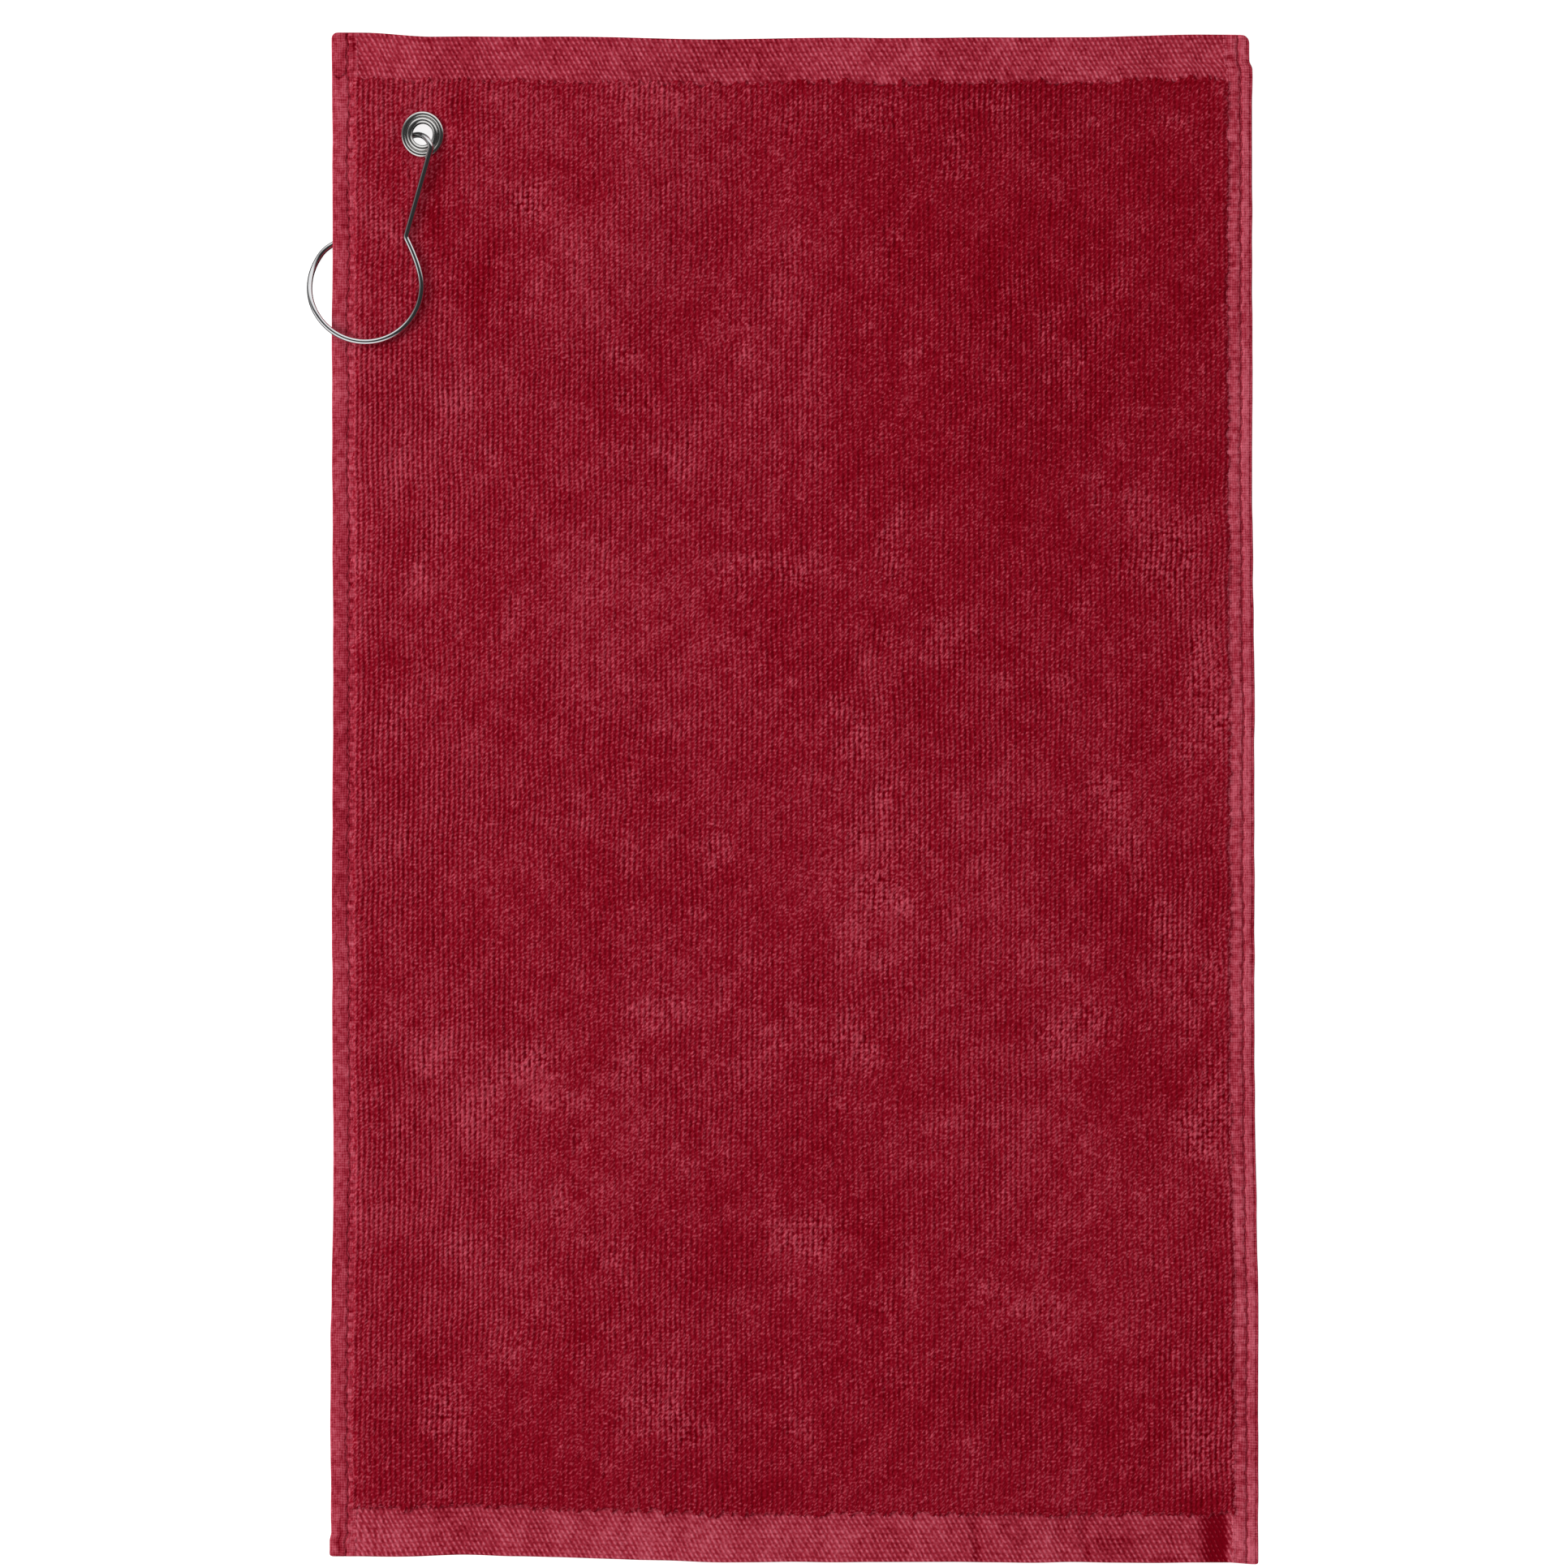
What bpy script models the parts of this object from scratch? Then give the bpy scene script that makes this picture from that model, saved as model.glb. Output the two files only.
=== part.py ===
"""A golf towel with a grommet in one corner and a one-piece wire clip.

Metres, +Z up. The towel lies on its back with its pile face up, X across it and Y along it,
towards the grommet end. The origin is on the table, under the towel's centre. The grommet
corner stands off the table, because it lies on the rear arm of the clip.
"""

import math

import bmesh
import bpy
from mathutils import Vector

MM = 0.001

# Cloth: a velour panel inside four sewn hems
TOWEL_WIDTH = 278 * MM
TOWEL_LENGTH = 458 * MM
SIDE_HEM_WIDTH = 6.5 * MM
END_HEM_WIDTH = 13 * MM
PANEL_THICKNESS = 2.6 * MM
HEM_THICKNESS = 1.4 * MM
HEM_UNDERSIDE = 0.7 * MM
PANEL_ROUNDING = 0.6 * MM
HEM_ROUNDING = 0.5 * MM
ROUNDING_SEGMENTS = 2
SHARP_ANGLE = math.radians(60)
GAP = 0.3 * MM

# Sewing thread: one needle thread and one bobbin thread to a hem
THREAD_DIAMETER = 0.4 * MM
THREAD_CLEARANCE = 0.2 * MM
LEFT_THREAD_INSET = 1.55 * MM
RIGHT_THREAD_INSET = 3.0 * MM
END_THREAD_INSET = 1.2 * MM
THREAD_END_INSET = 2 * MM
THREAD_ROUNDNESS = 1

# Grommet: an eyelet from the front, rolled over a washer at the back
GROMMET_X = -111.2 * MM
GROMMET_Y = 198.9 * MM
HOLE_RADIUS = 3.2 * MM
BARREL_WALL = 0.35 * MM
FLANGE_RADIUS = 6.7 * MM
FLANGE_UNDERSIDE = 4.55 * MM
FLANGE_RISE = 0.65 * MM
LIP_RADIUS = 0.9 * MM
LIP_CENTRE_Z = 4.6 * MM
REAR_LIP_RADIUS = 0.65 * MM
REAR_LIP_CENTRE_Z = 2.85 * MM
WASHER_RADIUS = 6.6 * MM
WASHER_UNDERSIDE = 3.05 * MM
WASHER_THICKNESS = 0.35 * MM
PINCH_RADIUS = 7 * MM
PINCH_UNDERSIDE = 3.65 * MM
PINCH_TOP = 4.3 * MM
CUT_MARGIN = 5 * MM
TURNED_STEPS = 40
LIP_STEPS = 6
LIP_TO_FLANGE = 0.1 * MM
LIP_END_ANGLE = math.radians(15)
DOME_START_ANGLE = math.radians(165)
SEAM_MERGE = 0.01 * MM

# Corner lifted by the clip's rear arm
CORNER_RISE = 2.2 * MM
RISE_FLAT_RADIUS = 60 * MM
RISE_END_RADIUS = 100 * MM
FINE_CELL = 11 * MM

# Clip: one wire, in (along, aside, height) from the grommet's axis. "Along" points from the
# grommet to the ring's centre, and "aside" is 90 degrees anticlockwise from it.
WIRE_DIAMETER = 1.7 * MM
WIRE_ROUNDNESS = 2
ALONG_ANGLE = math.radians(-110.9)
FRONT_HEIGHT = 6.0 * MM
REAR_HEIGHT = 0.95 * MM
NECK = Vector((30.7, 6.5)) * MM
SHOULDER = Vector((0.68, 0.73)).normalized()
KINK_RADIUS = 1.6 * MM
KINK_STEPS = 4
RING_CENTRE = Vector((48.6, 0.3)) * MM
RING_RADIUS = 16.9 * MM
RING_FRONT_ANGLE = math.radians(108)
RING_REAR_ANGLE = math.radians(-106)
RING_STEPS = 32
SHOULDER_HANDLE = 4.5 * MM
SHOULDER_STEPS = 6
DROP_ANGLE = math.radians(-70)
DROP_HALF_ANGLE = math.radians(34)
LATCH_NEST = 2.1 * MM
LATCH_LIP = 3.2 * MM
LATCH_TAIL = 4.0 * MM
BEND_STEPS = 2
BEND_ROUTE = [
    Vector((3.37, 4.07, 6.60)) * MM,
    Vector((2.47, 3.62, 6.62)) * MM,
    Vector((1.68, 2.89, 6.42)) * MM,
    Vector((0.98, 1.93, 5.75)) * MM,
    Vector((0.52, 0.74, 4.75)) * MM,
    Vector((0.38, -0.44, 3.75)) * MM,
    Vector((0.49, -1.42, 2.85)) * MM,
    Vector((0.73, -2.18, 2.00)) * MM,
    Vector((1.11, -2.90, 1.30)) * MM,
    Vector((1.90, -3.56, 0.98)) * MM,
    Vector((3.37, -4.06, 0.95)) * MM,
]

CLOTH_RED = (0.24, 0.010, 0.022, 1)
HEM_RED = (0.32, 0.028, 0.048, 1)
THREAD_RED = (0.20, 0.012, 0.024, 1)
NICKEL = (0.72, 0.71, 0.69, 1)
STEEL = (0.78, 0.78, 0.79, 1)


def clear_scene():
    for item in list(bpy.data.objects):
        bpy.data.objects.remove(item, do_unlink=True)


def new_collection(name):
    collection = bpy.data.collections.new(name)
    bpy.context.scene.collection.children.link(collection)
    return collection


def principled(name, colour, roughness, metallic):
    material = bpy.data.materials.new(name)
    material.use_nodes = True
    shader = material.node_tree.nodes["Principled BSDF"]
    shader.inputs["Base Color"].default_value = colour
    shader.inputs["Roughness"].default_value = roughness
    shader.inputs["Metallic"].default_value = metallic
    material.diffuse_color = colour
    return material


def add_object(name, data, collection, material=None):
    piece = bpy.data.objects.new(name, data)
    collection.objects.link(piece)
    if material:
        data.materials.append(material)
    return piece


def blend(fraction):
    """A smooth step from 0 to 1."""
    fraction = min(max(fraction, 0.0), 1.0)
    return fraction * fraction * (3 - 2 * fraction)


# ---------------------------------------------------------------- cloth


def rise(x, y):
    """How far the cloth stands off the table at this place."""
    away = math.hypot(x - GROMMET_X, y - GROMMET_Y)
    fall = (away - RISE_FLAT_RADIUS) / (RISE_END_RADIUS - RISE_FLAT_RADIUS)
    return CORNER_RISE * (1 - blend(fall))


def grid_lines(near, far, grommet):
    """Grid lines from the grommet's side to the other: close together where the corner bends."""
    bend_end = grommet + math.copysign(RISE_END_RADIUS, far - near)
    cells = math.ceil(abs(bend_end - near) / FINE_CELL)
    close = [near + (bend_end - near) * i / cells for i in range(cells + 1)]
    return sorted(close + [far])


def cloth_piece(name, x_lines, y_lines, underside, thickness, rounding, collection, material):
    """A slab of cloth over a grid, which follows the lifted corner."""
    columns = len(x_lines) - 1
    rows = len(y_lines) - 1
    bm = bmesh.new()
    bmesh.ops.create_grid(bm, x_segments=columns, y_segments=rows, size=0.5)
    for vert in bm.verts:
        x = x_lines[round((vert.co.x + 0.5) * columns)]
        y = y_lines[round((vert.co.y + 0.5) * rows)]
        vert.co = (x, y, underside + rise(x, y))
    mesh = bpy.data.meshes.new(name)
    bm.to_mesh(mesh)
    bm.free()
    piece = add_object(name, mesh, collection, material)
    solidify = piece.modifiers.new("thickness", "SOLIDIFY")
    solidify.thickness = thickness
    solidify.offset = 1
    bevel = piece.modifiers.new("rounded_edge", "BEVEL")
    bevel.width = rounding
    bevel.segments = ROUNDING_SEGMENTS
    bevel.limit_method = "ANGLE"
    bevel.angle_limit = SHARP_ANGLE
    return piece


def add_panel(collection, cutters, material):
    half_width = TOWEL_WIDTH / 2 - SIDE_HEM_WIDTH - GAP
    half_length = TOWEL_LENGTH / 2 - END_HEM_WIDTH - GAP
    panel = cloth_piece(
        "terry_panel",
        grid_lines(-half_width, half_width, GROMMET_X),
        grid_lines(half_length, -half_length, GROMMET_Y),
        0.0,
        PANEL_THICKNESS,
        PANEL_ROUNDING,
        collection,
        material,
    )
    cut = panel.modifiers.new("grommet_hole", "BOOLEAN")
    cut.operation = "DIFFERENCE"
    cut.object = pinched_hole(cutters)
    return panel


def pinched_hole(cutters):
    """The hole for the barrel, and the hollows that the flange and the washer press into the cloth."""
    barrel = HOLE_RADIUS + BARREL_WALL + GAP
    above = PINCH_TOP + CUT_MARGIN
    below = PINCH_UNDERSIDE - CUT_MARGIN
    profile = [
        (0, above),
        (PINCH_RADIUS, above),
        (PINCH_RADIUS, PINCH_TOP),
        (barrel, PINCH_TOP),
        (barrel, PINCH_UNDERSIDE),
        (PINCH_RADIUS, PINCH_UNDERSIDE),
        (PINCH_RADIUS, below),
        (0, below),
    ]
    cutter = turned("pinched_hole_cutter", profile, cutters, closed=False)
    cutter.hide_render = True
    cutter.display_type = "WIRE"
    return cutter


def add_hems(collection, border_red, hem_red):
    """The side hems run the towel's full length, and the end hems lie between them."""
    edge = TOWEL_WIDTH / 2
    end = TOWEL_LENGTH / 2
    inner = edge - SIDE_HEM_WIDTH
    border = inner - GAP
    across = grid_lines(-border, border, GROMMET_X)
    along = grid_lines(end, -end, GROMMET_Y)
    band = (HEM_UNDERSIDE, HEM_THICKNESS, HEM_ROUNDING, collection)
    cloth_piece("left_hem", [-edge, -inner], along, *band, hem_red)
    cloth_piece("right_hem", [inner, edge], [-end, end], *band, hem_red)
    cloth_piece("top_border", across, [end - END_HEM_WIDTH, end], *band, border_red)
    cloth_piece("bottom_border", [-border, border], [-end, END_HEM_WIDTH - end], *band, border_red)


def add_thread(name, places, height, collection, material):
    """A straight row of stitches over or under a hem, as one plain tube."""
    curve = bpy.data.curves.new(name, "CURVE")
    curve.dimensions = "3D"
    curve.bevel_depth = THREAD_DIAMETER / 2
    curve.bevel_resolution = THREAD_ROUNDNESS
    curve.use_fill_caps = True
    spline = curve.splines.new("POLY")
    spline.points.add(len(places) - 1)
    for point, (x, y) in zip(spline.points, places):
        point.co = (x, y, height + rise(x, y), 1)
    return add_object(name, curve, collection, material)


def add_threads(collection, material):
    hem_inner = TOWEL_WIDTH / 2 - SIDE_HEM_WIDTH
    left = -hem_inner - LEFT_THREAD_INSET
    right = hem_inner + RIGHT_THREAD_INSET
    end = TOWEL_LENGTH / 2 - END_HEM_WIDTH + END_THREAD_INSET
    reach_y = TOWEL_LENGTH / 2 - THREAD_END_INSET
    reach_x = TOWEL_WIDTH / 2 - SIDE_HEM_WIDTH - THREAD_END_INSET
    rows = {
        "left": [(left, y) for y in grid_lines(reach_y, -reach_y, GROMMET_Y)],
        "right": [(right, -reach_y), (right, reach_y)],
        "top": [(x, end) for x in grid_lines(-reach_x, reach_x, GROMMET_X)],
        "bottom": [(-reach_x, -end), (reach_x, -end)],
    }
    away = THREAD_CLEARANCE + THREAD_DIAMETER / 2
    over = HEM_UNDERSIDE + HEM_THICKNESS + away
    under = HEM_UNDERSIDE - away
    for row, places in rows.items():
        add_thread(f"{row}_needle_thread", places, over, collection, material)
        add_thread(f"{row}_bobbin_thread", places, under, collection, material)


# ---------------------------------------------------------------- grommet


def turned(name, profile, collection, material=None, closed=True):
    """A profile of (radius, height) points turned about the grommet's axis, outer side downwards."""
    bm = bmesh.new()
    verts = [bm.verts.new((radius, 0, height)) for radius, height in profile]
    for first, second in zip(verts, verts[1:]):
        bm.edges.new((first, second))
    if closed:
        bm.edges.new((verts[-1], verts[0]))
    mesh = bpy.data.meshes.new(name)
    bm.to_mesh(mesh)
    bm.free()
    piece = add_object(name, mesh, collection, material)
    piece.location = (GROMMET_X, GROMMET_Y, 0)
    screw = piece.modifiers.new("turned", "SCREW")
    screw.axis = "Z"
    screw.angle = math.tau
    screw.steps = TURNED_STEPS
    screw.render_steps = TURNED_STEPS
    screw.use_merge_vertices = True
    screw.merge_threshold = SEAM_MERGE
    screw.use_smooth_shade = True
    return piece


def arc(centre, radius, start, end, steps):
    """Points on an arc, from one angle to another in radians."""
    angles = [start + (end - start) * i / steps for i in range(steps + 1)]
    return [centre + radius * Vector((math.cos(a), math.sin(a))) for a in angles]


def add_eyelet(collection, material):
    """The front flange with its raised inner lip, the barrel, and the lip rolled at the back."""
    lip_centre = Vector((HOLE_RADIUS + LIP_RADIUS, LIP_CENTRE_Z))
    rear_centre = Vector((HOLE_RADIUS + REAR_LIP_RADIUS, REAR_LIP_CENTRE_Z))
    flange_inner = HOLE_RADIUS + 2 * LIP_RADIUS + LIP_TO_FLANGE
    dome_centre = Vector(((flange_inner + FLANGE_RADIUS) / 2, FLANGE_UNDERSIDE))
    dome_half = (FLANGE_RADIUS - flange_inner) / 2
    dome = [
        Vector((dome_centre.x + (p.x - dome_centre.x) * dome_half / FLANGE_RISE, p.y))
        for p in arc(dome_centre, FLANGE_RISE, DOME_START_ANGLE, 0, LIP_STEPS)
    ]
    barrel_outside = HOLE_RADIUS + BARREL_WALL
    front_lip = arc(lip_centre, LIP_RADIUS, math.pi, LIP_END_ANGLE, LIP_STEPS)
    rear_lip = arc(rear_centre, REAR_LIP_RADIUS, 0, -math.pi, LIP_STEPS)
    profile = (
        front_lip
        + dome
        + [Vector((barrel_outside, FLANGE_UNDERSIDE)), Vector((barrel_outside, REAR_LIP_CENTRE_Z))]
        + rear_lip
    )
    return turned("grommet_eyelet", [tuple(p) for p in profile], collection, material)


def add_washer(collection, material):
    """The plain ring behind the cloth, over which the barrel is rolled."""
    bore = HOLE_RADIUS + BARREL_WALL + GAP
    top = WASHER_UNDERSIDE + WASHER_THICKNESS
    edge = WASHER_THICKNESS / 2
    profile = [
        (bore, top),
        (WASHER_RADIUS - edge, top),
        (WASHER_RADIUS, top - edge),
        (WASHER_RADIUS - edge, WASHER_UNDERSIDE),
        (bore, WASHER_UNDERSIDE),
    ]
    return turned("grommet_washer", profile, collection, material)


# ---------------------------------------------------------------- clip


def rounded_corner(before, corner, after, radius):
    """The arc that rounds a corner of the wire."""
    arriving = (corner - before).normalized()
    leaving = (after - corner).normalized()
    half_turn = arriving.angle(leaving) / 2
    inwards = (leaving - arriving).normalized()
    centre = corner + inwards * radius / math.cos(half_turn)
    first = corner - arriving * radius * math.tan(half_turn) - centre
    last = corner + leaving * radius * math.tan(half_turn) - centre
    start = math.atan2(first.y, first.x)
    turn = (math.atan2(last.y, last.x) - start + math.pi) % math.tau - math.pi
    return arc(centre, radius, start, start + turn, KINK_STEPS)


def shoulder(start, start_way, end, end_way):
    """The easy curve between a neck and the ring, without its two ends."""
    leave = start + start_way * SHOULDER_HANDLE
    arrive = end - end_way * SHOULDER_HANDLE
    points = []
    for i in range(1, SHOULDER_STEPS):
        t = i / SHOULDER_STEPS
        s = 1 - t
        points.append(start * s**3 + leave * 3 * s * s * t + arrive * 3 * s * t * t + end * t**3)
    return points


def ring_way(angle):
    """The direction in which the wire runs round the ring."""
    return Vector((math.sin(angle), -math.cos(angle)))


def ring_height(point):
    """The ring is above the cloth in front, and drops beside the towel's edge to run behind it."""
    angle = math.atan2(point.y - RING_CENTRE.y, point.x - RING_CENTRE.x)
    drop = blend((DROP_ANGLE + DROP_HALF_ANGLE - angle) / (2 * DROP_HALF_ANGLE))
    return FRONT_HEIGHT + (REAR_HEIGHT - FRONT_HEIGHT) * drop


def smooth_through(points, steps):
    """A Catmull-Rom curve through the points."""
    ends = [2 * points[0] - points[1]] + points + [2 * points[-1] - points[-2]]
    curve = []
    for a, b, c, d in zip(ends, ends[1:], ends[2:], ends[3:]):
        for i in range(steps):
            t = i / steps
            curve.append(
                (2 * b + (c - a) * t + (2 * a - 5 * b + 4 * c - d) * t * t + (3 * b - a - 3 * c + d) * t**3) / 2
            )
    return curve + [points[-1]]


def clip_route():
    """The wire's centre line from the latch's lip to its tail, in (along, aside, height)."""
    front_neck = NECK
    rear_neck = Vector((NECK.x, -NECK.y))
    out_front = SHOULDER
    out_rear = Vector((SHOULDER.x, -SHOULDER.y))
    front_arm_top = BEND_ROUTE[0].xy
    rear_arm_top = BEND_ROUTE[-1].xy
    lip_end = rear_neck + out_rear * LATCH_LIP
    rear_arm_way = (rear_neck - rear_arm_top).normalized()

    # The tail nests inside the lip, so its own neck is the same kink moved inwards.
    arm_side = Vector((-rear_arm_way.y, rear_arm_way.x))
    lip_side = Vector((-out_rear.y, out_rear.x))
    nested_neck = rear_neck + (arm_side + lip_side) * LATCH_NEST / (1 + arm_side.dot(lip_side))
    tail_end = nested_neck - rear_arm_way * LATCH_TAIL

    lip = [lip_end] + rounded_corner(lip_end, rear_neck, rear_arm_top, KINK_RADIUS)
    front = rounded_corner(front_arm_top, front_neck, front_neck + out_front, KINK_RADIUS)
    ring = arc(RING_CENTRE, RING_RADIUS, RING_FRONT_ANGLE, RING_REAR_ANGLE, RING_STEPS)
    tail = rounded_corner(nested_neck + out_rear, nested_neck, tail_end, KINK_RADIUS) + [tail_end]
    to_ring = shoulder(front[-1], out_front, ring[0], ring_way(RING_FRONT_ANGLE))
    to_tail = shoulder(ring[-1], ring_way(RING_REAR_ANGLE), tail[0], -out_rear)

    route = [p.to_3d() + Vector((0, 0, REAR_HEIGHT)) for p in lip]
    route += list(reversed(smooth_through(BEND_ROUTE, BEND_STEPS)))
    route += [p.to_3d() + Vector((0, 0, FRONT_HEIGHT)) for p in front + to_ring]
    route += [p.to_3d() + Vector((0, 0, ring_height(p))) for p in ring]
    route += [p.to_3d() + Vector((0, 0, REAR_HEIGHT)) for p in to_tail + tail]
    return route


def add_clip(collection, material):
    """One wire through the grommet, with its origin on the axis that it swings about."""
    along = Vector((math.cos(ALONG_ANGLE), math.sin(ALONG_ANGLE), 0))
    aside = Vector((-along.y, along.x, 0))
    curve = bpy.data.curves.new("wire_clip", "CURVE")
    curve.dimensions = "3D"
    curve.bevel_depth = WIRE_DIAMETER / 2
    curve.bevel_resolution = WIRE_ROUNDNESS
    curve.use_fill_caps = True
    route = clip_route()
    spline = curve.splines.new("POLY")
    spline.points.add(len(route) - 1)
    for point, place in zip(spline.points, route):
        world = along * place.x + aside * place.y
        point.co = (world.x, world.y, place.z, 1)
    clip = add_object("wire_clip", curve, collection, material)
    clip.location = (GROMMET_X, GROMMET_Y, 0)
    return clip


def main():
    clear_scene()
    towel = new_collection("golf_towel")
    cutters = new_collection("cutters")
    pile_red = principled("pile_red", CLOTH_RED, 0.95, 0)
    border_red = principled("border_red", HEM_RED, 0.9, 0)
    hem_red = principled("hem_red", HEM_RED, 0.9, 0)
    thread_red = principled("thread_red", THREAD_RED, 0.8, 0)
    nickel = principled("nickel", NICKEL, 0.25, 1)
    steel = principled("steel", STEEL, 0.15, 1)
    add_panel(towel, cutters, pile_red)
    add_hems(towel, border_red, hem_red)
    add_threads(towel, thread_red)
    add_eyelet(towel, nickel)
    add_washer(towel, nickel)
    add_clip(towel, steel)


main()
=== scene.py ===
"""A golf towel with a grommet in one corner and a one-piece wire clip, seen from above.

Shapes are worked out in millimetres, and become metres when a mesh is made. A place on the cloth is
first given on a plain rectangle, as in the CAD, and settle() then moves it to the uneven outline.
Shade is how light a place on the cloth is painted, from 0 in the deepest folds to 1 on the lightest
tips.
Besides the cloth's own tone and grain it carries painted shade in folds, grooves and gaps, and painted
light on raised tips and crushed pile.
The last number of each noise() is its seed.
"""

import functools
import math

import bpy
import numpy as np
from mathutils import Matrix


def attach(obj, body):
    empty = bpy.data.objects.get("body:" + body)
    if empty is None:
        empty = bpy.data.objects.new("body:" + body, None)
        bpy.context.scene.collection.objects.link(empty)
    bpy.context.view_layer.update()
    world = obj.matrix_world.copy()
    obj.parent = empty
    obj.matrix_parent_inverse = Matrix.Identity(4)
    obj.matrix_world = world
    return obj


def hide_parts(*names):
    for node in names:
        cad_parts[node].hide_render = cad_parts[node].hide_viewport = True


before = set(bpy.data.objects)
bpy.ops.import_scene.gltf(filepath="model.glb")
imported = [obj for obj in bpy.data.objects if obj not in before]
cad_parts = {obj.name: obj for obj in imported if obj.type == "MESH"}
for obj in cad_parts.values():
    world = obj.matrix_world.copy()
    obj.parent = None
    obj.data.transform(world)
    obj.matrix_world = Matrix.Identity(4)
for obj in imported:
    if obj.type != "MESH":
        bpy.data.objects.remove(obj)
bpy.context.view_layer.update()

MM = 0.001
COARSE = 1

# The towel's plain rectangle, and what its bands take of it
HALF_WIDTH = 139.0
HALF_LENGTH = 229.0
SIDE_HEM = 6.5
END_HEM = 13.0
GAP = 0.3
PANEL_HALF_WIDTH = HALF_WIDTH - SIDE_HEM - GAP
PANEL_HALF_LENGTH = HALF_LENGTH - END_HEM - GAP

# The grommet, and the corner that the clip's rear arm lifts
GROMMET_X = -111.2
GROMMET_Y = 198.9
HOLE_RADIUS = 3.2
BARREL_WALL = 0.35
FLANGE_RADIUS = 6.7
FLANGE_UNDERSIDE = 4.55
FLANGE_RISE = 0.65
LIP_RADIUS = 0.9
LIP_CENTRE_Z = 4.6
REAR_LIP_RADIUS = 0.65
REAR_LIP_CENTRE_Z = 2.85
WASHER_RADIUS = 6.6
WASHER_UNDERSIDE = 3.05
WASHER_THICKNESS = 0.35
EYELET_OVAL = (0.962, 1.035)
PINCH_RADIUS = 6.9
PINCH_EASE = 3.2
CLOTH_HOLE = 4.6
CORNER_RISE = 2.2
RISE_FLAT_RADIUS = 60.0
RISE_END_RADIUS = 100.0

# Velour: sheared tufts in ribs that run along the towel
RIB_PITCH = 1.524
TUFT_PITCH = 1.80
PILE_TOP = 2.62
PILE_FOOT = 1.5

# Clip: one wire, in (along, aside, height) from the grommet's axis
WIRE_RADIUS = 0.85
ALONG_ANGLE = math.radians(-110.9)
FRONT_HEIGHT = 6.0
REAR_HEIGHT = 0.95
NECK = np.array((30.7, 6.5))
SHOULDER = np.array((0.68, 0.73)) / math.hypot(0.68, 0.73)
KINK_RADIUS = 1.6
RING_CENTRE = np.array((48.6, 0.3))
RING_RADIUS = 16.9
RING_FRONT_ANGLE = math.radians(108)
RING_REAR_ANGLE = math.radians(-106)
SHOULDER_HANDLE = 4.5
DROP_ANGLE = math.radians(-70)
DROP_HALF_ANGLE = math.radians(34)
LATCH_NEST = 2.1
LATCH_LIP = 3.2
LATCH_TAIL = 4.0
BEND_ROUTE = [
    (3.37, 4.07, 6.60),
    (2.47, 3.62, 6.62),
    (1.68, 2.89, 6.42),
    (0.98, 1.93, 5.75),
    (0.52, 0.74, 4.75),
    (0.38, -0.44, 3.75),
    (0.49, -1.42, 2.85),
    (0.73, -2.18, 2.00),
    (1.11, -2.90, 1.30),
    (1.90, -3.56, 0.98),
    (3.37, -4.06, 0.95),
]

# ---------------- numbers


def blend(fraction):
    """A smooth step from 0 to 1."""
    fraction = np.clip(fraction, 0.0, 1.0)
    return fraction * fraction * (3 - 2 * fraction)


def mound(distance):
    """A smooth hump: 1 at distance 0, and 0 from distance 1."""
    return 1 - blend(np.abs(distance))


def mix(a, b, share):
    return a + (b - a) * share


NOISE_SIZE = 512


@functools.lru_cache(maxsize=None)
def noise_table(seed):
    return np.random.default_rng(seed).uniform(-1, 1, (NOISE_SIZE, NOISE_SIZE))


def noise(x, y, cell, seed):
    """Smooth random waves from -1 to 1, one to a cell of that many mm."""
    table = noise_table(seed)
    u, v = np.asarray(x) / cell, np.asarray(y) / cell
    i, j = np.floor(u).astype(int), np.floor(v).astype(int)
    fu, fv = blend(u - i), blend(v - j)
    i, j = i % NOISE_SIZE, j % NOISE_SIZE
    i_next, j_next = (i + 1) % NOISE_SIZE, (j + 1) % NOISE_SIZE
    low = mix(table[i, j], table[i_next, j], fu)
    high = mix(table[i, j_next], table[i_next, j_next], fu)
    return mix(low, high, fv)


# ---------------- outline

# Each of the towel's edges: its own line, how it wavers, as (size, cell, seed), and its bends. A bend is
# (start, length, shift): from the start on, over that length, the edge moves aside by the shift.
LEFT_EDGE = (-138.45, (0.1, 9, 11), [(-120, -50, -0.45), (-221.5, -3, -0.55)])
LEFT_SWAY, LEFT_SWAY_LENGTH = 0.18, 23.0
RIGHT_EDGE = (138.15, (0.1, 8, 12), [(95, -70, 0.65), (-75, -90, 1.15), (218.6, 2.6, -0.85)])
TOP_EDGE = (228.35, (0.12, 14, 13), [(-108, -22, 1.2), (88, 36, 0.95)])
TOP_HUMP = (-25, 45, -0.5)
BOTTOM_EDGE = (-228.4, (0.16, 12, 14), [(-82, 66, -1.75), (70, 40, -0.15), (130, 8, -0.5)])
BOTTOM_HUMP = (-99, 16, 0.45)


def edge_line(at, line, waver, bends):
    """Where an edge is at a place along it."""
    size, cell, seed = waver
    edge = line + size * noise(at, 0, cell, seed)
    for start, length, shift in bends:
        edge = edge + shift * blend((at - start) / length)
    return edge


def hump(at, place, half_width, size):
    return size * mound((at - place) / half_width)


def left_edge(y):
    return edge_line(y, *LEFT_EDGE) + LEFT_SWAY * np.sin(y / LEFT_SWAY_LENGTH)


def right_edge(y):
    return edge_line(y, *RIGHT_EDGE)


def top_edge(x):
    return edge_line(x, *TOP_EDGE) + hump(x, *TOP_HUMP)


def bottom_edge(x):
    return edge_line(x, *BOTTOM_EDGE) + hump(x, *BOTTOM_HUMP)


# From where, and over what length, the outline's shifts fade in from the middle of the cloth
FADE_X, FADE_X_LENGTH = 60, 66
FADE_Y, FADE_Y_LENGTH = 150, 60
SWELL, SWELL_CELL = 0.3, 46


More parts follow.
